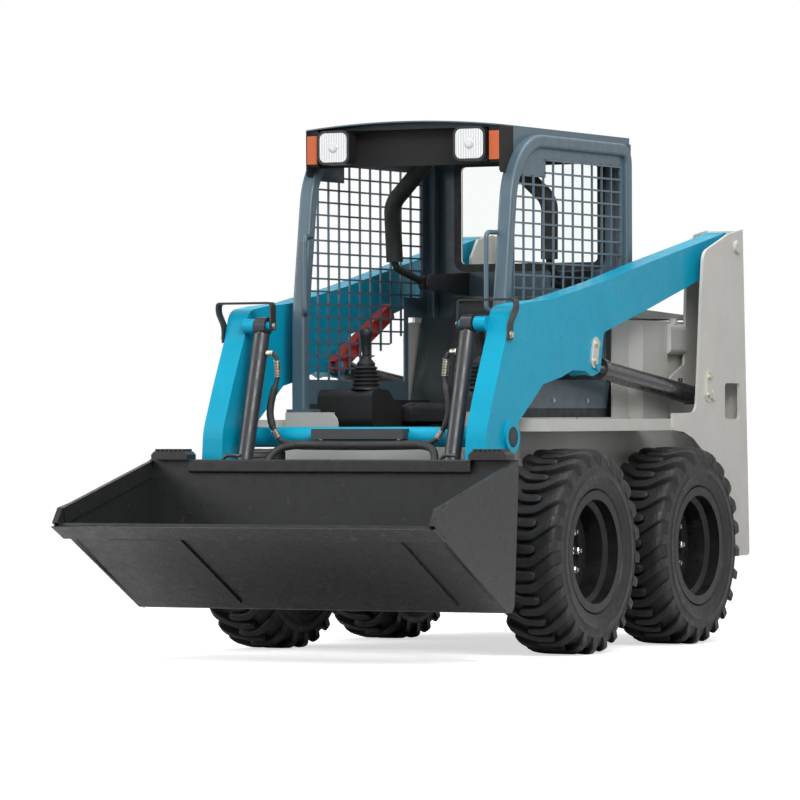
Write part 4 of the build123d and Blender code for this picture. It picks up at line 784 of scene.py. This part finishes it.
# ---------------------------------------------------------------- hydraulic cylinders
# Honed tubes with screwed glands, sprayed charcoal, with hard chrome rods. Each lift tube has a
# pipe to its far port, painted with it.
dress("lift_barrels", paint("lift_tube_paint", (0.016, 0.016, 0.018), 0.26, grime=0.03, coat=0.3))
dress("tilt_barrels", paint("tilt_tube_paint", (0.030, 0.032, 0.036), 0.3, grime=0.05))
chrome, n, l, shader = surface("hard_chrome", (0.78, 0.79, 0.80), 0.09, 1.0)
uneven(n, l, shader, 220.0, 0.05, 0.16, detail=3.0, stretch=(1, 1, 0.05))
dress("lift_rods tilt_rods", chrome)

# ---------------------------------------------------------------- tilt hoses
# Rubber hoses in a fabric sleeve, crimped into plated ends at the cylinders' ports. Two short
# steel springs on each upper hose keep it from chafing.
hose_rubber, n, l, shader = surface("hose_cover", (0.018, 0.018, 0.019), 0.5)
weave = textured(n, l, "Wave", 90.0)
weave.bands_direction = "DIAGONAL"
bump(n, l, shader, weave.outputs["Fac"], 0.4, 0.0012)
uneven(n, l, shader, 16.0, 0.4, 0.7)
dress("tilt_hoses", hose_rubber)
port_x = 0.4035
hose_ports = both_sides(
    ((port_x, -1.073 + shift, 0.640), (-1, 0, 0)), ((port_x, -0.936 + shift, 1.135), (-1, 0, 0))
)
crimp = turned_mesh("crimp", [
    (0.0125, 0.0), (0.0125, 0.008), (0.0108, 0.009), (0.0108, 0.026), (0.0098, 0.028),
], 20)
repeated("hose_crimps", crimp, hose_ports, bolt_steel, "tilt_barrels")
upper_hose = [
    # x, y, z, radius
    (0.404, -0.936, 1.135, 0.0085), (0.380, -0.936, 1.134, 0.0085), (0.360, -0.937, 1.116, 0.0085),
    (0.353, -0.941, 1.060, 0.0085), (0.358, -0.946, 1.020, 0.0088), (0.364, -0.948, 1.000, 0.0135),
    (0.376, -0.952, 0.950, 0.0140), (0.378, -0.956, 0.905, 0.0140), (0.366, -0.960, 0.862, 0.0135),
    (0.358, -0.962, 0.850, 0.0088), (0.344, -0.966, 0.822, 0.0088), (0.318, -0.966, 0.803, 0.0100),
    (0.280, -0.966, 0.794, 0.0110), (0.238, -0.966, 0.792, 0.0120),
]
lower_hose = [
    (0.404, -1.073, 0.640, 0.0085), (0.380, -1.073, 0.641, 0.0095), (0.362, -1.064, 0.664, 0.0130),
    (0.356, -1.040, 0.708, 0.0140), (0.345, -1.008, 0.750, 0.0145), (0.320, -0.984, 0.776, 0.0145),
    (0.280, -0.970, 0.786, 0.0145), (0.238, -0.966, 0.788, 0.0150),
]
cross_sleeve = [
    (-0.262, -0.966, 0.790, 0.0135), (-0.250, -0.966, 0.790, 0.0175), (-0.12, -0.966, 0.7885, 0.0180),
    (0.0, -0.966, 0.788, 0.0180), (0.12, -0.966, 0.7885, 0.0180), (0.250, -0.966, 0.790, 0.0175),
    (0.262, -0.966, 0.790, 0.0135),
]


def tube_mesh(name, rows, steps):
    """A round bar along (point, radius) rows, with its ends closed."""
    route = [point for point, radius in rows]
    rings = []
    across = ahead_at(route, 0).orthogonal().normalized()
    for index, (point, radius) in enumerate(rows):
        ahead = ahead_at(route, index)
        across = (across - ahead * across.dot(ahead)).normalized()
        up = ahead.cross(across)
        rings.append([point + radius * (cosine * across + sine * up) for sine, cosine in round_turn(steps)])
    return skinned(name, rings)


def hose_mesh(name, rows, side, steps=16, finer=8):
    """A hose on a smooth curve through (x, y, z, radius) rows, on one side of the machine."""
    stations = [Vector((side * x, y + shift, z, radius)) for x, y, z, radius in rows]
    path = []
    for index in range(len(stations) - 1):
        p0 = stations[max(index - 1, 0)]
        p1 = stations[index]
        p2 = stations[index + 1]
        p3 = stations[min(index + 2, len(stations) - 1)]
        for t in (part_step / finer for part_step in range(finer)):
            path.append(0.5 * (
                2 * p1 + (p2 - p0) * t + (2 * p0 - 5 * p1 + 4 * p2 - p3) * t ** 2
                + (3 * p1 - p0 - 3 * p2 + p3) * t ** 3
            ))
    path.append(stations[-1])
    return tube_mesh(name, [(station.to_3d(), station.w) for station in path], steps)


hose_parts = [hose_mesh("cross_sleeve", cross_sleeve, 1)]
for side in (1, -1):
    hose_parts.append(hose_mesh("upper_hose", upper_hose, side))
    hose_parts.append(hose_mesh("lower_hose", lower_hose, side))
hose_set = joined("hoses", hose_parts)
hoses = finished("curved_tilt_hoses", hose_set, hose_rubber, "tilt_barrels")
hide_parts("tilt_hoses")
spring_pitch = 0.0058
spring_radius = 0.0122
spring_wire = 0.0017
spring_steps = 14


def spring_mesh(start, end):
    """A close-wound guard spring round a straight run of hose."""
    start = Vector(start)
    end = Vector(end)
    ahead = (end - start).normalized()
    side = ahead.orthogonal().normalized()
    up = ahead.cross(side)
    count = round((end - start).length / spring_pitch) * spring_steps
    rows = []
    for index in range(count + 1):
        angle = 2 * math.pi * index / spring_steps
        centre = start.lerp(end, index / count)
        out = math.cos(angle) * side + math.sin(angle) * up
        rows.append((centre + spring_radius * out, spring_wire))
    return tube_mesh("spring", rows, 5)


spring_runs = [
    # start and end, each x, y, z
    ((0.3585, -0.9375, 1.108), (0.3540, -0.9420, 1.045)),
    ((0.3555, -0.9630, 0.845), (0.3360, -0.9660, 0.815)),
]
spring_set = joined("springs", [
    spring_mesh(*[(side * x, y + shift, z) for x, y, z in run]) for side in (1, -1) for run in spring_runs
])
finished("hose_springs", spring_set, bolt_steel, "tilt_barrels")

# ---------------------------------------------------------------- bucket
# Rolled and welded plate with a thick lip bar and cheeks, sprayed black; the edge that digs is
# a bolted-on bar of hardened steel whose paint is scoured.
bucket_black = (0.020, 0.021, 0.021)
bucket_paint = paint(
    "bucket_charcoal", bucket_black, 0.30, grime=0.0, worn=(0.055, 0.055, 0.053), wear=0.3, shine=0.4
)
dress("bucket_shell", bucket_paint)
dress("cutting_edge", paint(
    "scoured_edge", bucket_black, 0.3, grime=0.0, worn=(0.09, 0.09, 0.088), wear=0.6, shine=0.4
))
cheek_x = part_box("bucket_shell")[1][0] - 0.0125
bucket_runs = []
for side in (1, -1):
    x = side * (cheek_x - 0.012)
    bucket_runs.append(((x, -0.873, 0.25), (x, -0.866, 0.68), (-side, -1, 0)))
    bucket_runs.append(((x, -0.93, 0.182), (x, -1.42, 0.437), (-side, 0, 1)))
bead("bucket_welds", bucket_runs, bucket_paint, "bucket")

# ---------------------------------------------------------------- step pads and quick coupler
# Serrated black treads on the bucket's top corners, and a flat black coupler frame whose two
# bent handles turn its locking wedges.
dress("step_pads", black_paint)
lever_paint, n, l, shader = surface("lever_paint", (0.03, 0.03, 0.03), 0.35)
bump(n, l, shader, noise(n, l, 240.0, 2.0), 0.1, 0.001)
lever_y = -1.15 + shift
lever_radius = 0.007
levers = [
    [(-0.482, 0.700), (-0.482, 0.723), (-0.461, 0.751), (-0.397, 0.751)],
    [(0.432, 0.700), (0.432, 0.724), (0.453, 0.752), (0.507, 0.752)],
]
lever_meshes = []
for row in levers:
    route = eased([(x, lever_y, z) for x, z in row], 0.012)
    lever_meshes.append(tube_mesh("lever", [(point, lever_radius) for point in route], 12))
lever_mesh = joined("lever_mesh", lever_meshes)
finished("coupler_levers", lever_mesh, lever_paint, "bucket")

# ---------------------------------------------------------------- cab frame, side sheets and screens
# Two bent pillars of square tube with sheet and bar screens between them, slate outside. The
# screens are welded rod, painted with the frame.
slate = (0.080, 0.130, 0.165)
slate_paint = paint("cab_slate_paint", slate, 0.36, grime=0.0, coat=0.15)
dress("cab_hoop_left cab_hoop_right cab_side_sheets side_screens cab_rear_wall", slate_paint)
sheet_x = 0.439
sheet_bolt_z = 0.955
sheet_bolts = both_sides(*[((sheet_x, y, sheet_bolt_z), (1, 0, 0)) for y in (-0.15, 0.12, 0.42)])
repeated("cab_sheet_bolts", bolt_m8, sheet_bolts, bolt_steel, "chassis")

# ---------------------------------------------------------------- cab roof
# A shallow crowned steel pressing welded to the pillars. The brow that carries the lamps is painted near
# black and rough as painted shade, and the ceiling has a foam lining, near black as painted shade.
# Where the brow's painted shade ends: behind this y and above this z the roof is slate.
painted_shade_rear = -0.17
painted_shade_top = 1.990
painted_shade_blend = 0.001
roof_paint_with_painted_shade, n, l, shader = surface("roof_slate_with_painted_shade", slate, 0.38)
place = coordinates(n, l)
behind_painted_shade = ranged(n, l, place["Y"], painted_shade_rear - painted_shade_blend, painted_shade_rear + painted_shade_blend, 0.0, 1.0)
above_painted_shade = ranged(n, l, place["Z"], painted_shade_top - painted_shade_blend, painted_shade_top + painted_shade_blend, 0.0, 1.0)
outside_painted_shade = math_step(n, l, "MAXIMUM", behind_painted_shade, above_painted_shade)
# Ahead of and below those limits the roof is near black and rough: painted shade on the brow.
l.new(blended(n, l, outside_painted_shade, (0.006, 0.006, 0.006), slate), shader.inputs["Base Color"])
l.new(ranged(n, l, outside_painted_shade, 0.0, 1.0, 0.85, 0.36), shader.inputs["Roughness"])
bump(n, l, shader, noise(n, l, 260.0, 2.0), 0.10, 0.001)
dress("cab_roof", roof_paint_with_painted_shade)
# A foam lining under the roof, made near black as painted shade on the ceiling.
lining_with_painted_shade, n, l, shader = surface("roof_lining", (0.012, 0.012, 0.013), 0.9)
bump(n, l, shader, noise(n, l, 60.0, 6.0), 0.5, 0.002)
lining_half = 0.395
lining_z = 1.968
lining_crown = 0.018
made = bmesh.new()
rows = []
for y in (-0.255, 0.10, 0.50, 0.83):
    rows.append([
        made.verts.new((x, y, lining_z + lining_crown * (1 - (x / lining_half) ** 2)))
        for x in (-lining_half, -0.2, 0.0, 0.2, lining_half)
    ])
for near, far in zip(rows, rows[1:]):
    for index in range(4):
        made.faces.new((near[index], far[index], far[index + 1], near[index + 1]))
bmesh.ops.solidify(made, geom=made.faces[:], thickness=0.004)
bmesh.ops.recalc_face_normals(made, faces=made.faces)
finished("roof_lining", meshed("roof_lining", made), lining_with_painted_shade, "chassis")

# ---------------------------------------------------------------- rear window
# Tempered glass, faintly green, held in the cab's rear wall by an extruded
# rubber seal.
seal_rubber, n, l, shader = surface("seal_rubber_black", (0.015, 0.015, 0.015), 0.55)
uneven(n, l, shader, 30.0, 0.45, 0.7)
dress("window_seal", seal_rubber)
pane, n, l, shader = surface("window_pane", (0.93, 0.97, 0.96), 0.0)
shader.inputs["Transmission Weight"].default_value = 1.0
shader.inputs["IOR"].default_value = 1.1
uneven(n, l, shader, 6.0, 0.0, 0.02)
dress("rear_glass", pane)

# ---------------------------------------------------------------- headlamps and markers
# Moulded black lamp bodies with a ribbed glass lens over a bright reflector, and amber lenses
# clipped to the cab's corners.
lamp_black, n, l, shader = surface("lamp_moulding", (0.014, 0.014, 0.015), 0.38)
bump(n, l, shader, noise(n, l, 420.0, 2.0), 0.25, 0.0006)
dress("headlamps", lamp_black)
lens_pale = (0.80, 0.82, 0.82)
lens, n, l, shader = surface("lamp_lens", lens_pale, 0.16, coat=1.0)
shader.inputs["Coat Roughness"].default_value = 0.04
# The rib wave both bumps the lens and darkens its colour: the darker bands are painted shade in the ribs'
# grooves.
ribs_with_painted_shade = textured(n, l, "Wave", 30.0)
bump(n, l, shader, ribs_with_painted_shade.outputs["Fac"], 0.5, 0.002)
l.new(blended(n, l, ribs_with_painted_shade.outputs["Fac"], lens_pale, (0.55, 0.58, 0.59)), shader.inputs["Base Color"])
dress("lamp_lenses", lens)
lens_low, lens_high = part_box("lamp_lenses")
bowl, n, l, shader = surface("lamp_reflector", (0.60, 0.62, 0.63), 0.2)
uneven(n, l, shader, 60.0, 0.08, 0.2)
bulb_rows = [(0.0, -0.001), (0.020, 0.0), (0.019, 0.0025), (0.013, 0.0045), (0.0, 0.005)]
bulb = turned_mesh("bulb_shield", bulb_rows, 28)
lamp_x = 0.291
lamp_z = (lens_low[2] + lens_high[2]) / 2
bulb_places = both_sides(((lamp_x, lens_low[1] + 0.001, lamp_z), (0, -1, 0)))
repeated("lamp_bulb_shields", bulb, bulb_places, bowl, "chassis")
amber, n, l, shader = surface("marker_amber_lens", (0.56, 0.105, 0.022), 0.2, coat=0.6)
bump(n, l, shader, noise(n, l, 200.0, 0.0, (0.1, 0.1, 1)), 0.35, 0.001)
dress("side_markers", amber)

# ---------------------------------------------------------------- operator's station
# A sheet steel tub with a foot well, seat shelf and bulkhead, dark slate inside. Rubber ribs lie
# across the floor of the well.
dress("cab_tub", paint("station_dark_paint", (0.020, 0.032, 0.036), 0.5, grime=0.15, low=1.0))
mat_rubber, n, l, shader = surface("mat_rubber", (0.016, 0.016, 0.016), 0.75)
bump(n, l, shader, noise(n, l, 160.0, 3.0), 0.4, 0.001)
mat_z = 0.510
mat_front = -0.640 + shift
mat_rear = -0.220 + shift
mat_half = 0.36
mat_pitch = 0.012
rib = joined("mat_rib", [turned_mesh("rib", [(0.0022, -mat_half), (0.0022, mat_half)], 6, False)])
rib_line = line_points((0, mat_front, 0), (0, mat_rear, 0), mat_pitch)
rib_places = [((0, point[1], mat_z), (1, 0, 0)) for point in rib_line]
repeated("mat_ribs", rib, rib_places, mat_rubber, "chassis")

# ---------------------------------------------------------------- seat
# A bolted box base with a foam cushion and backrest in black vinyl, sewn into channels across
# the seat and the back.
vinyl, n, l, shader = surface("seat_vinyl_black", (0.022, 0.022, 0.024), 0.42)
grain = textured(n, l, "Voronoi", 420.0)
bump(n, l, shader, grain.outputs["Distance"], 0.35, 0.0008)
uneven(n, l, shader, 12.0, 0.34, 0.56)
dress("seat_base bar_brackets", black_paint)
pad_voxel = 0.006
pad_shrink = 0.006
pad_cap = 0.010
pad_pressure = 4.0
pad_frames = 20
smoothing_passes = 6
channel_depth = 0.006
channel_half = 0.006


def stuffed(name, node, channels, direction):
    """A padded copy of a CAD pad: remeshed, swollen by pressure, then drawn in along its seams."""
    made = bmesh.new()
    made.from_mesh(nodes[node].data)
    bmesh.ops.remove_doubles(made, verts=made.verts, dist=1e-5)
    pad = bpy.data.objects.new(name, meshed(name, made))
    scene.collection.objects.link(pad)
    remesh = pad.modifiers.new("remesh", "REMESH")
    remesh.mode = "VOXEL"
    remesh.voxel_size = pad_voxel
    pad.data = settled(pad)
    pad.modifiers.clear()
    smooth = bmesh.new()
    smooth.from_mesh(pad.data)
    for unused in range(smoothing_passes):
        bmesh.ops.smooth_vert(
            smooth, verts=smooth.verts, factor=0.5, use_axis_x=True, use_axis_y=True, use_axis_z=True
        )
    smooth.normal_update()
    for vertex in smooth.verts:
        vertex.co -= vertex.normal * pad_shrink
    smooth.to_mesh(pad.data)
    smooth.free()
    start = [vertex.co.copy() for vertex in pad.data.vertices]
    cloth = pad.modifiers.new("cloth", "CLOTH")
    cloth.settings.use_pressure = True
    cloth.settings.uniform_pressure_force = pad_pressure
    cloth.settings.effector_weights.gravity = 0.0
    for frame_number in range(1, pad_frames + 1):
        scene.frame_set(frame_number)
    swollen = settled(pad)
    pad.modifiers.clear()
    pad.data = swollen
    scene.frame_set(1)
    for vertex, origin in zip(pad.data.vertices, start):
        moved = vertex.co - origin
        if moved.length > pad_cap:
            vertex.co = origin + moved.normalized() * pad_cap
    axis = Vector(direction).normalized()
    centre = sum((vertex.co for vertex in pad.data.vertices), Vector()) / len(pad.data.vertices)
    for vertex in pad.data.vertices:
        along = (vertex.co - centre).dot(axis)
        pull = sum(math.exp(-((along - channel) / channel_half) ** 2) for channel in channels)
        inward = centre + axis * along - vertex.co
        if inward.length > 1e-6:
            vertex.co += inward.normalized() * channel_depth * min(1.0, pull)
    finer = pad.modifiers.new("finer", "SUBSURF")
    finer.levels = 1
    finer.render_levels = 1
    result = settled(pad)
    bpy.data.objects.remove(pad)
    for face in result.polygons:
        face.use_smooth = True
    piece = finished(name, result, vinyl, "chassis")
    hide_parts(node)


stuffed("stuffed_seat", "seat_cushion", (-0.13, -0.045, 0.045, 0.13), (0, 1, 0))
stuffed("stuffed_backrest", "seat_back", (-0.17, -0.06, 0.06, 0.17), (0, 0.20, 0.98))

# ---------------------------------------------------------------- control pods and joysticks
# Moulded black pods at both sides of the seat; each joystick stands in a rubber bellows and has
# a shaped grip.
console, n, l, shader = surface("console_moulding", (0.020, 0.020, 0.021), 0.5)
bump(n, l, shader, noise(n, l, 300.0, 3.0), 0.3, 0.0008)
dress("control_pods", console)
fold_rise = 0.0155
bellows_rows = [(0.0585, 0.0)]
for fold in range(6):
    bellows_rows.append((0.0575 - fold * 0.0022, 0.005 + fold * fold_rise))
    bellows_rows.append((0.0475 - fold * 0.0026, 0.0130 + fold * fold_rise))
bellows_rows += [(0.036, 0.100), (0.026, 0.112), (0.020, 0.119), (0.0195, 0.124), (0.013, 0.128)]
bellows = turned_mesh("bellows", bellows_rows, 48, False)
pod_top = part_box("control_pods")[1][2]
grip_rows = [
    # x, y, height above the pod, radius
    (0.250, -0.428, 0.110, 0.0090), (0.250, -0.428, 0.124, 0.0120), (0.250, -0.427, 0.132, 0.0150),
    (0.250, -0.428, 0.150, 0.0165), (0.248, -0.432, 0.172, 0.0175), (0.245, -0.438, 0.194, 0.0200),
    (0.241, -0.443, 0.214, 0.0235), (0.239, -0.446, 0.229, 0.0215), (0.238, -0.447, 0.236, 0.0150),
    (0.2378, -0.4472, 0.239, 0.0060),
]
sticks = []
for side in (1, -1):
    shell = bellows.copy()
    shell.transform(Matrix.Translation((side * 0.250, -0.428 + shift, pod_top)))
    grip = [(x, y, z + pod_top, radius) for x, y, z, radius in grip_rows]
    sticks += [shell, hose_mesh("grip", grip, side, 20, 6)]
stick_set = joined("sticks", sticks)
levers_piece = finished("joysticks_with_bellows", stick_set, console, "chassis")
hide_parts("joysticks")

# ---------------------------------------------------------------- seat bar
# A bent tube in thick black foam that swings down over the driver's lap from two brackets on the
# cab's pillars.
foam, n, l, shader = surface("bar_foam", (0.014, 0.014, 0.014), 0.8)
pores = textured(n, l, "Voronoi", 500.0)
bump(n, l, shader, pores.outputs["Distance"], 0.4, 0.001)
uneven(n, l, shader, 18.0, 0.55, 0.85)
dress("seat_bar", foam)

# ---------------------------------------------------------------- body panels, hood and rear door
# Formed sheet around the engine, light grey. The hood is hinged at the cab and lifts at the back,
# and the louvred door swings on two hinges.
body_paint = paint("body_grey_paint", (0.56, 0.56, 0.525), 0.38, grime=0.3)
dress("body_panels hood rear_door", body_paint)
latch_x = -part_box("rear_door")[1][0] + 0.06
latch_z = 0.80
door_face_y = 1.188 + shift
latch = joined("latch", [
    turned_mesh("latch_plate", [(0.024, 0.0), (0.024, 0.003), (0.021, 0.004)], 32),
    turned_mesh("latch_key", [(0.009, 0.004), (0.009, 0.007), (0.006, 0.008)], 20),
])
latch_place = [((latch_x, door_face_y, latch_z), (0, 1, 0))]
repeated("rear_door_latch", latch, latch_place, bolt_steel, "rear_door")

# ---------------------------------------------------------------- engine, tank and prop
# A cast iron engine on four feet under the hood, a blow-moulded pale tank in the left panel,
# and the red steel prop that holds the arms up for service.
dress("engine_block", paint("engine_iron_paint", (0.10, 0.11, 0.12), 0.55, grime=0.5, low=1.2))
tank_plastic, n, l, shader = surface("tank_moulding", (0.60, 0.60, 0.57), 0.42)
bump(n, l, shader, noise(n, l, 200.0, 3.0), 0.2, 0.001)
dress("fluid_tank", tank_plastic)
dress("arm_prop", paint(
    "prop_red_paint", (0.50, 0.045, 0.030), 0.38, grime=0.0, worn=(0.2, 0.12, 0.1), wear=0.2
))
